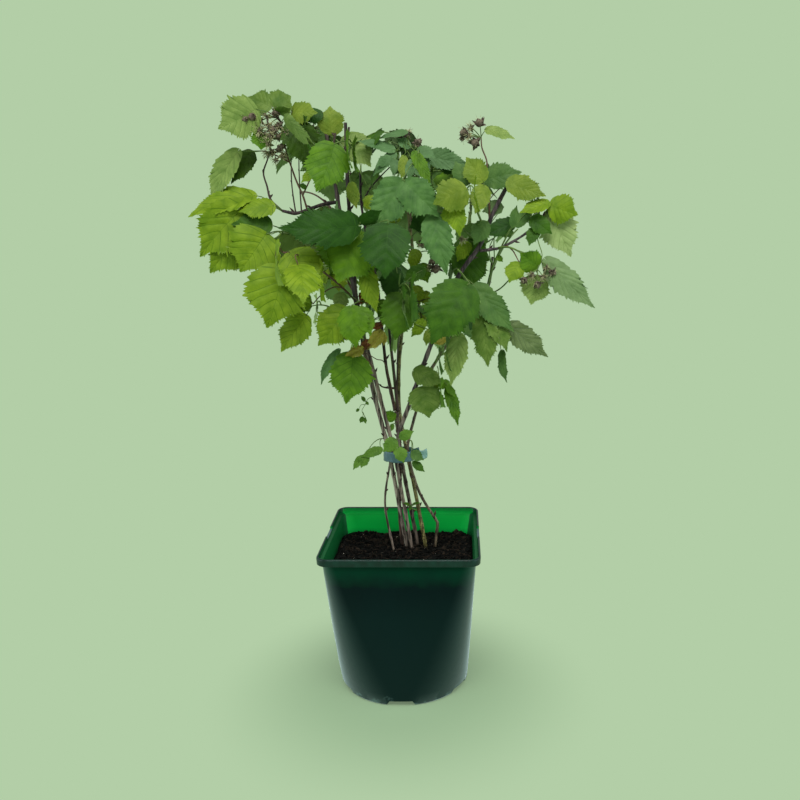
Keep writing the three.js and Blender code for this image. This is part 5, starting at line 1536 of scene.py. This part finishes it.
def drawn_up(name, profile, ring_of=squared_ring):
    """A shell drawn ring by ring from a circle: each ring is extruded from the last and shaped."""
    clear_selection()
    bpy.ops.mesh.primitive_circle_add(vertices=AROUND, radius=0.05, fill_type="NGON")
    shell = bpy.context.object
    shell.name = name
    bpy.ops.object.mode_set(mode="EDIT")
    bpy.ops.mesh.select_all(action="SELECT")
    for order, size in enumerate(profile):
        if order:
            bpy.ops.mesh.extrude_region_move()
        bpy.ops.object.mode_set(mode="OBJECT")
        ring = [v for v in shell.data.vertices if v.select]
        ring.sort(key=lambda v: math.atan2(v.co.y, v.co.x) % (2 * math.pi))
        ring = ring[-1:] + ring[:-1] if order == 0 and ring[-1].co.y > -1e-6 and ring[-1].co.x > 0 else ring
        for vertex, point in zip(ring, ring_of(*size)):
            vertex.co = Vector(point) * MM
        bpy.ops.object.mode_set(mode="EDIT")
    bpy.ops.object.mode_set(mode="OBJECT")
    return shell


def cut_with(piece, tools):
    for tool in tools:
        pick(piece)
        modifier = piece.modifiers.new("Cut", "BOOLEAN")
        modifier.object, modifier.operation, modifier.solver = tool, "DIFFERENCE", "EXACT"
        bpy.ops.object.modifier_apply(modifier=modifier.name)
        bpy.data.objects.remove(tool)


def facing_out(piece):
    pick(piece)
    bpy.ops.object.mode_set(mode="EDIT")
    bpy.ops.mesh.select_all(action="SELECT")
    bpy.ops.mesh.remove_doubles(threshold=1e-6)
    bpy.ops.mesh.normals_make_consistent(inside=False)
    bpy.ops.object.mode_set(mode="OBJECT")


def channel_wedges(grow):
    """The raised drain channels as wedges, grown by `grow` all round."""
    slope = (CHANNEL["mouth"] - CHANNEL["roof"]) / 2 / CHANNEL["height"]
    for turn in CHANNEL_TURNS:
        clear_selection()
        bpy.ops.mesh.primitive_cube_add(size=1, location=(0, 0, 0))
        wedge = bpy.context.object
        for vertex in wedge.data.vertices:
            z = CHANNEL["height"] + grow if vertex.co.z > 0 else CHANNEL["below"]
            y = -(CHANNEL["outer"] if vertex.co.y < 0 else CHANNEL["inner"] - grow)
            x = math.copysign(CHANNEL["mouth"] / 2 - slope * z + grow, vertex.co.x)
            vertex.co = Vector((x * math.cos(turn) - y * math.sin(turn),
                                x * math.sin(turn) + y * math.cos(turn), z)) * MM
        yield wedge


def drain_holes():
    for turn in CHANNEL_TURNS:
        clear_selection()
        at = CHANNEL["hole_at"] * MM
        bpy.ops.mesh.primitive_cylinder_add(
            vertices=20, radius=CHANNEL["hole"] * MM, depth=0.03,
            location=(at * math.sin(turn), -at * math.cos(turn), 0))
        yield bpy.context.object


def rim_slots():
    for side in (-1, 1):
        clear_selection()
        bpy.ops.mesh.primitive_cube_add(
            size=1, location=(side * SLOT["at"] * MM, 0, POT["height"] * MM),
            scale=(SLOT["deep"] * MM, SLOT["long"] * MM, SLOT["high"] * MM))
        yield bpy.context.object


def rim_ring(side_inset, corner_inset, z):
    """A ring of the rim, inside its outer side and the round of its corners by so much."""
    return POT["rim"] - side_inset, POT["rim_corner"] - corner_inset, z


top, lip_bottom, wall = POT["height"], POT["height"] - POT["lip"], POT["wall"]
outside = drawn_up("nursery_pot", [
    *[(POT["foot"] - inset, POT["foot"] - inset, z) for inset, z in ((1.2, 0), (0.4, 0.35))],
    *[body_size(z) for z in np.linspace(1.5, lip_bottom, 14)],
    *[rim_ring(inset, inset, z) for inset, z in (
        (0.8, lip_bottom), (0.45, lip_bottom + 0.3), (0.1, top - 1.6), (0.35, top - 0.7),
        (0.9, top - 0.15), (1.3, top))]])
inside_levels = [body_size(z, wall) for z in np.linspace(POT["floor"], lip_bottom, 12)]
top_half, top_corner, _ = inside_levels[-1]
inside = drawn_up("inside", [
    *inside_levels, (top_half + 0.4, top_corner + 0.2, lip_bottom + 1.2),
    rim_ring(2.9, 2.6, lip_bottom + 2.2), rim_ring(2.4, 2.2, top - 0.9), rim_ring(2.1, 2.0, top - 0.25),
    rim_ring(1.5, 1.5, top + 0.6), rim_ring(1.5, 1.5, top + 2)])
for shell in (outside, inside):
    facing_out(shell)
cut_with(inside, channel_wedges(wall))
cut_with(outside, [inside, *channel_wedges(0), *drain_holes(), *rim_slots()])
pot = outside
pick(pot)
bpy.ops.object.shade_smooth_by_angle(angle=math.radians(28))


def up_the_wall(tree, place, cloud, detail, ragged, low, high):
    """How far up the wall a place is, from 0 at a height in metres to 1, along a ragged line."""
    height = add(tree, "SeparateXYZ", {"Vector": place}, output="Z")
    clouds = add(tree, "TexNoise", {"Vector": place, "Scale": cloud, "Detail": detail})
    clouds = add(tree, "Math", {0: clouds, 1: ragged}, operation="MULTIPLY")
    clouds = add(tree, "Math", {0: height, 1: clouds}, operation="ADD")
    return add(tree, "MapRange", {"Value": clouds, "From Min": low, "From Max": high})


def outer_plastic():
    """Polypropylene, injection moulded thin, with painted light: green above the soil as if lit through the
    wall, and painted shade below, where the soil stands behind it.
    """
    material, tree, shader = new_material(
        "pot polypropylene, moulded dark green", 0.34, 1.49, Sheen_Weight=1.0, Sheen_Roughness=0.31,
        Sheen_Tint=linear("#dcf2ff"), Specular_Tint=linear("#8fc2d6"))
    # Rubbed plastic shines more where it is seen aslant.
    aslant = add(tree, "LayerWeight", {"Blend": 0.5}, output="Facing")
    shine = add(tree, "MapRange", {"Value": aslant, "From Min": 0.06, "From Max": 0.42})
    tree.links.new(shine, shader.inputs["Specular IOR Level"])
    place = add(tree, "TexCoord", output="Object")
    # Painted light and shade: green above the soil line where light would come through the wall, darkest just
    # below it.
    level = up_the_wall(tree, place, 90.0, 3.0, 0.012, 0.1, 0.16)
    colour = add(tree, "ValToRGB", {"Fac": level}, [
        (0.0, "#021713"), (0.6, "#000b09"), (0.645, "#001c0c"), (0.9, "#003a22")])
    # Painted shade and reflection: soft clouds of one dark teal over the whole wall.
    drawn = add(tree, "Mapping", {"Vector": place, "Scale": (18, 18, 7), "Rotation": (0, 0.7, 0)})
    shade_and_reflection_patches = add(tree, "TexNoise", {"Vector": drawn, "Scale": 1.0, "Detail": 3.0})
    shade_and_reflection_patches = add(tree, "MapRange", {
        "Value": shade_and_reflection_patches, "From Min": 0.35, "From Max": 0.75, "To Max": 0.55})
    colour = add(tree, "Mix", {0: shade_and_reflection_patches, 6: colour, 7: linear("#031c1b")}, output=2,
                 data_type="RGBA")
    # Pale scuffs along the edge that it stands on.
    height = add(tree, "SeparateXYZ", {"Vector": place}, output="Z")
    low = add(tree, "MapRange", {
        "Value": height, "From Min": 0.001, "From Max": 0.03, "To Min": 0.1, "To Max": -0.5})
    worn = add(tree, "TexNoise", {"Vector": place, "Scale": 130.0, "Detail": 5.0})
    worn = add(tree, "Math", {0: worn, 1: low}, operation="ADD")
    worn = add(tree, "MapRange", {"Value": worn, "From Min": 0.56, "From Max": 0.7, "To Max": 0.7})
    colour = add(tree, "Mix", {0: worn, 6: colour, 7: linear("#55706e")}, output=2, data_type="RGBA")
    tree.links.new(colour, shader.inputs["Base Color"])
    scuffs = add(tree, "TexNoise", {"Vector": place, "Scale": 240.0, "Detail": 4.0})
    gloss = add(tree, "MapRange", {"Value": scuffs, "To Min": 0.28, "To Max": 0.46})
    tree.links.new(gloss, shader.inputs["Roughness"])
    bump = add(tree, "Bump", {"Height": scuffs, "Strength": 1.0, "Distance": 0.06 * MM})
    tree.links.new(bump, shader.inputs["Normal"])
    return material


def inner_plastic(where, tones, glow):
    """The same plastic from inside, with painted light: a brighter green and a faint glow where light would
    come through the wall, and darker greens as painted shade on the side walls.
    """
    material, tree, shader = new_material(
        "pot polypropylene, " + where, 0.5, 1.49, Specular_IOR_Level=0.2,
        Emission_Color=linear("#02a03c"), Emission_Strength=glow)
    place = add(tree, "TexCoord", output="Object")
    level = up_the_wall(tree, place, 30.0, 2.0, 0.006, 0.132, 0.165)
    colour = add(tree, "ValToRGB", {"Fac": level}, list(zip((0.0, 0.3, 0.72, 0.95), tones)))
    tree.links.new(colour, shader.inputs["Base Color"])
    return material


def rim_plastic():
    """The rim of the same plastic, thicker, mottled in two dark teals."""
    material, tree, shader = new_material("pot polypropylene, thick rim", 0.3, 1.49, Specular_IOR_Level=0.35)
    place = add(tree, "TexCoord", output="Object")
    rubbed = add(tree, "TexNoise", {"Vector": place, "Scale": 160.0, "Detail": 4.0})
    colour = add(tree, "ValToRGB", {"Fac": rubbed}, [(0.35, "#01211a"), (0.7, "#053128")])
    tree.links.new(colour, shader.inputs["Base Color"])
    return material


OUTER, LIT, RIM, SHADED = range(4)
for plastic in (outer_plastic(),
                inner_plastic("lit through", ("#027030", "#02b443", "#02ab3e", "#01642a"), 0.1),
                rim_plastic(),
                inner_plastic("in its own shade", ("#032c16", "#045c2a", "#045a2a", "#02401e"), 0.0)):
    pot.data.materials.append(plastic)
# Painted light and shade: inner walls that face sideways take the darker copy, the others the copy that glows
# as if lit through.
for face in pot.data.polygons:
    centre, normal = face.center / MM, face.normal
    outward = normal.x * centre.x + normal.y * centre.y
    if centre.z > lip_bottom - 0.2 and (centre.z > top - 0.8 or outward > 0):
        face.material_index = RIM
    elif outward < 0 and centre.z > 3:
        face.material_index = SHADED if abs(normal.x) > abs(normal.y) else LIT
    else:
        face.material_index = OUTER
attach(pot, "root")
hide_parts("pot")

# ---- Potting soil ----

# The soil's top: the level where the walls bound it, its height, how far it is drawn up along the
# walls, and the mound round the canes.
GROUND = {"level": 130, "top": 131.6, "walls": 1.8, "walls_from": 0.86, "walls_width": 0.14,
          "mound": 1.6, "mound_at": (8, 24), "mound_size": 500}
SOIL_EDGE, SOIL_RINGS = 131, 26
SOIL_INSET = wall + CLEAR


def ground_height(x, y):
    edge = np.maximum(np.abs(x), np.abs(y)) / body_size(GROUND["level"], SOIL_INSET)[0]
    bumps = (1.1 * np.sin(x / 9 + 1.3) * np.cos(y / 11 - 0.4) + 0.9 * np.sin(x / 4.1 - y / 5.3)
             + 0.5 * np.sin(x / 2.3 + 2) * np.sin(y / 2.7))
    at_walls = GROUND["walls"] * np.clip(edge - GROUND["walls_from"], 0, 1) / GROUND["walls_width"]
    away = (x - GROUND["mound_at"][0]) ** 2 + (y - GROUND["mound_at"][1]) ** 2
    return float(GROUND["top"] + bumps + at_walls + GROUND["mound"] * np.exp(-away / GROUND["mound_size"]))


bed_half, bed_corner, _ = body_size(SOIL_EDGE, SOIL_INSET)
bed = drawn_up("soil_bed", [
    *[body_size(z, SOIL_INSET) for z in np.linspace(POT["floor"] + CLEAR, SOIL_EDGE - 2, 8)],
    *[(bed_half * share, mixed(bed_half, bed_corner, share ** 3) * share, SOIL_EDGE)
      for share in np.linspace(1, 0.03, SOIL_RINGS)]], even_ring)
facing_out(bed)
for vertex in bed.data.vertices:
    if vertex.co.z > (SOIL_EDGE - 0.5) * MM:
        vertex.co.z = ground_height(vertex.co.x / MM, vertex.co.y / MM) * MM
cut_with(bed, channel_wedges(SOIL_INSET))
# Peat-based potting compost: dark, crumbly and matt, with fibres and a few pale grains.
COMPOST = [
    mottled("potting compost, dark peat", ("#030403", "#0a0b08"), 4, 0.95, 1.4, 0.9, Specular_IOR_Level=0.15),
    mottled("potting compost, brown fibre", ("#17130e", "#332a20"), 2, 0.95, 0.8, 0.3,
            Specular_IOR_Level=0.2),
    mottled("potting compost, pale grains", ("#8f8778", "#c9c2b4"), 1, 0.9, 0.6, 0.2),
    mottled("potting compost, damp crumbs", ("#050604", "#12110d"), 3, 0.9, 0.9, 0.6, Specular_IOR_Level=0.2),
]
PEAT, FIBRE, GRAIN, DAMP = range(4)
bed.data.materials.append(COMPOST[PEAT])
for face in bed.data.polygons:
    face.use_smooth = True
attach(bed, "root")
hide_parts("potting_soil")


def lump():
    """A crumb's corners and faces: a point above, two rings of five and a point below."""
    steps = np.radians(np.arange(5) * 72)
    level, reach = 1 / math.sqrt(5), 2 / math.sqrt(5)
    upper = np.stack([reach * np.cos(steps), reach * np.sin(steps), np.full(5, level)], 1)
    lower = np.stack([reach * np.cos(steps + math.pi / 5), reach * np.sin(steps + math.pi / 5),
                      np.full(5, -level)], 1)
    pairs = [(k, (k + 1) % 5) for k in range(5)]
    faces = [(0, 1 + a, 1 + b) for a, b in pairs] + [(1 + a, 6 + a, 1 + b) for a, b in pairs]
    faces += [(1 + b, 6 + a, 6 + b) for a, b in pairs] + [(11, 6 + b, 6 + a) for a, b in pairs]
    return np.round(np.vstack([(0, 0, 1), upper, lower, (0, 0, -1)]), 2), faces


LUMP_CORNERS, LUMP_FACES = lump()
CRUMBS = {"count": 3400, "inset": 2.4, "at_walls": 0.3, "off_walls": 2.5, "largest": 3.2}
FIBRES = {"count": 420, "within": 68, "ends_within": 70}


def add_crumb(heap, dice):
    """One crumb or grain, more often near the walls; none where it would miss the soil."""
    half, corner, _ = body_size(GROUND["level"], SOIL_INSET + CRUMBS["inset"])
    x, y = dice.uniform(-half, half, 2)
    if dice.random() < CRUMBS["at_walls"]:
        if dice.random() < 0.5:
            x = math.copysign(half - dice.exponential(CRUMBS["off_walls"]), x)
        else:
            y = math.copysign(half - dice.exponential(CRUMBS["off_walls"]), y)
    past = [max(abs(side) - half + corner, 0) for side in (x, y)]
    if max(abs(x), abs(y)) > half or math.hypot(*past) > corner:
        return
    size = min(dice.uniform(0.7, 1.5) + dice.exponential(0.55), CRUMBS["largest"])
    shape = LUMP_CORNERS * dice.uniform(0.7, 1.25, (12, 1)) * size * dice.uniform(0.6, 1.2, 3)
    angle = dice.uniform(0, ROUND)
    c, s = math.cos(angle), math.sin(angle)
    spin = np.array([[c, -s, 0], [s, c, 0], [0, 0, 1]])
    z = ground_height(x, y) + size * dice.uniform(-0.2, 0.6)
    kind = dice.choice([PEAT, DAMP, FIBRE, GRAIN], p=[0.5, 0.37, 0.11, 0.02])
    if kind == GRAIN:
        shape = shape * 0.45
    heap.add(shape @ spin.T + vec(x, y, z), LUMP_FACES, kind)


def add_fibre(heap, dice):
    """One bent fibre on the soil; none where it would reach the wall."""
    x, y = dice.uniform(-FIBRES["within"], FIBRES["within"], 2)
    turn, length = dice.uniform(0, 360), dice.uniform(4, 12)
    start = vec(x, y, ground_height(x, y) + dice.uniform(0.6, 2.0))
    end = start + along(turn, dice.uniform(-8, 14)) * length
    if max(abs(end[0]), abs(end[1])) > FIBRES["ends_within"]:
        return
    middle = (start + end) / 2 + vec(*dice.uniform(-1, 1, 2), 0.8)
    add_tube(heap, smooth_path([start, middle, end], 4), np.full(5, dice.uniform(0.18, 0.5)), 4, FIBRE)


dice = np.random.default_rng(4)
crumbs = Heap()
for _ in range(CRUMBS["count"]):
    add_crumb(crumbs, dice)
for _ in range(FIBRES["count"]):
    add_fibre(crumbs, dice)
crumbs.piece("soil_crumbs", "compost", COMPOST, smooth=False)

# ---- Tie ----

# Soft tying tape: PVC tube film, stretched and slightly glossy, grey-blue where light falls on it.
TAPE = [
    mottled("tying tape, soft PVC", ("#33565c", "#5a7a83"), 7, 0.35, 2.0, 0.15),
    mottled("tying tape, soft PVC in shade", ("#184040", "#2a5652"), 6, 0.35, 2.0, 0.15),
    mottled("tying tape, soft PVC thin tail", ("#6d958d", "#86aba2"), 6, 0.4, 2.0, 0.15),
]
FILM, SHADED_FILM, THIN_FILM = range(3)
TIE = {"x": -4.5, "y": 9, "wide": 14.8, "deep": 12.6, "bottom": 237}
TIE_STEPS = 48
# The tape's section: how far out and how far up, round its outside and back down its inside.
TIE_SECTION = [(0.2, 0.0), (1.0, 0.1), (1.2, 1.0), (0.95, 3.2), (1.2, 5.5), (0.9, 8.0), (1.2, 10.2),
               (1.0, 10.9), (0.2, 11.0), (0.0, 8.0), (0.0, 3.0)]


def tie_ring(grow, up):
    points = []
    for i in range(TIE_STEPS):
        angle = i / TIE_STEPS * 2 * math.pi
        ripple = 0.35 * math.sin(5 * angle + up * 0.35) + 0.2 * math.sin(11 * angle)
        points.append((TIE["x"] + (TIE["wide"] + grow) * math.cos(angle),
                       TIE["y"] + (TIE["deep"] + grow) * math.sin(angle), TIE["bottom"] + up + ripple))
    return points


band = Heap()
last_ring = (len(TIE_SECTION) - 1) * TIE_STEPS
steps_on = [(i, (i + 1) % TIE_STEPS) for i in range(TIE_STEPS)]
band.add(np.vstack([tie_ring(grow, up) for grow, up in TIE_SECTION]), np.vstack([
    ring_faces(len(TIE_SECTION), TIE_STEPS),
    [(b, a, last_ring + a, last_ring + b) for a, b in steps_on]]), FILM)


def add_tail(heap, start, end, bottom, height, tint, wave):
    """A flat loose end of the tape with a soft bend and a cut end."""
    steps, rows = 12, 5
    front, back = [], []
    for i in range(steps + 1):
        share = i / steps
        for j in range(rows + 1):
            up = j / rows
            x, y = mixed(start[0], end[0], share), mixed(start[1], end[1], share)
            bend = wave * math.sin(share * 3.4) + 0.5 * math.sin(up * 5 + share * 4)
            z = bottom + height * up + share * 1.0 + 0.5 * math.sin(share * 7 + up)
            front.append((x + 0.4 * math.sin(up * 4), y - 0.1 - bend, z))
            back.append((x + 0.4 * math.sin(up * 4), y + 0.7 - bend, z))
    count, cols = len(front), rows + 1
    first = (np.arange(steps)[:, None] * cols + np.arange(rows)).ravel()
    quads = np.stack([first, first + cols, first + cols + 1, first + 1], 1)
    border = [(i * cols, (i + 1) * cols) for i in range(steps)]
    border += [(steps * cols + j, steps * cols + j + 1) for j in range(rows)]
    border += [((i + 1) * cols + rows, i * cols + rows) for i in range(steps)]
    border += [(j + 1, j) for j in range(rows)]
    edge = [(b, a, a + count, b + count) for a, b in border]
    heap.add(front + back, np.vstack([quads, quads[:, ::-1] + count, edge]), tint)


add_tail(band, (7, 2.2), (17.5, 0.3), 240.5, 10.5, SHADED_FILM, 0.7)
add_tail(band, (15.5, 0.6), (25.5, 3.6), 239.2, 9.5, THIN_FILM, 0.8)
band.piece("tie_tape", "tie_plastic", TAPE, ["cane_tie"])

# ---- Floor, light and camera ----

BACKDROP = "#b3cea7"
JUST_UNDER = -0.0004
clear_selection()
bpy.ops.mesh.primitive_plane_add(size=80, location=(0, 0, JUST_UNDER))
floor = bpy.context.object
floor.name = "floor"
# Matt paper, darker near the pot as painted shadow on top of the real shadow it takes there, that runs out
# into the even backdrop.
paper, tree, shader = new_material("backdrop paper, matt", 0.9, 1.3, Specular_IOR_Level=0.0,
                                   Base_Color=linear("#8da883"))
place = add(tree, "TexCoord", output="Object")
# The painted shadow is centred a little in front of the pot.
centred = add(tree, "Mapping", {"Vector": place, "Location": (0, 0.028, 0)})
away = add(tree, "VectorMath", {0: centred}, output="Value", operation="LENGTH")
even = add(tree, "MapRange", {"Value": away, "From Min": 0.06, "From Max": 0.215, "To Min": 0.3},
           interpolation_type="SMOOTHSTEP")
glow = add(tree, "Emission", {"Color": linear(BACKDROP)})
blend = add(tree, "MixShader", {0: even, 1: shader.outputs[0], 2: glow})
tree.links.new(blend, tree.nodes["Material Output"].inputs["Surface"])
floor.data.materials.append(paper)

world = bpy.data.worlds.new("studio")
bpy.context.scene.world = world
world.use_nodes = True
tree = world.node_tree
sky = tree.nodes["Background"]
sky.inputs["Color"].default_value = linear("#f4f7f2")
sky.inputs["Strength"].default_value = 0.42
plain = add(tree, "Background", {"Color": linear(BACKDROP)})
seen = add(tree, "LightPath", output="Is Camera Ray")
both = add(tree, "MixShader", {0: seen, 1: sky.outputs[0], 2: plain})
tree.links.new(both, tree.nodes["World Output"].inputs["Surface"])


def softbox(name, location, aim, size, power, tone="#ffffff"):
    light = bpy.data.lights.new(name, "AREA")
    light.shape, light.size, light.size_y = "RECTANGLE", *size
    light.energy, light.color = power, linear(tone)[:3]
    lamp = bpy.data.objects.new(name, light)
    lamp.location = location
    lamp.rotation_euler = (Vector(aim) - Vector(location)).to_track_quat("-Z", "Y").to_euler()
    bpy.context.collection.objects.link(lamp)


softbox("softbox above", (0.03, -1.0, 1.8), (0, 0, 0.4), (1.1, 0.9), 27)
for side, across in (("left", -1.1), ("right", 1.1)):
    softbox("softbox " + side, (across, -0.25, 0.35), (0, -0.1, 0.15), (1.3, 0.55), 6.2, "#e2efff")

camera = bpy.data.cameras.new("camera")
camera.sensor_width, camera.lens = 36, 36.33
camera.shift_x, camera.shift_y = -0.07625, 0
camera.clip_end = 50
eye = bpy.data.objects.new("camera", camera)
eye.location = EYE * MM
eye.rotation_euler = Euler((math.radians(90) + TILT, 0, 0))
bpy.context.collection.objects.link(eye)
bpy.context.scene.camera = eye
bpy.context.scene.view_settings.view_transform = "Standard"
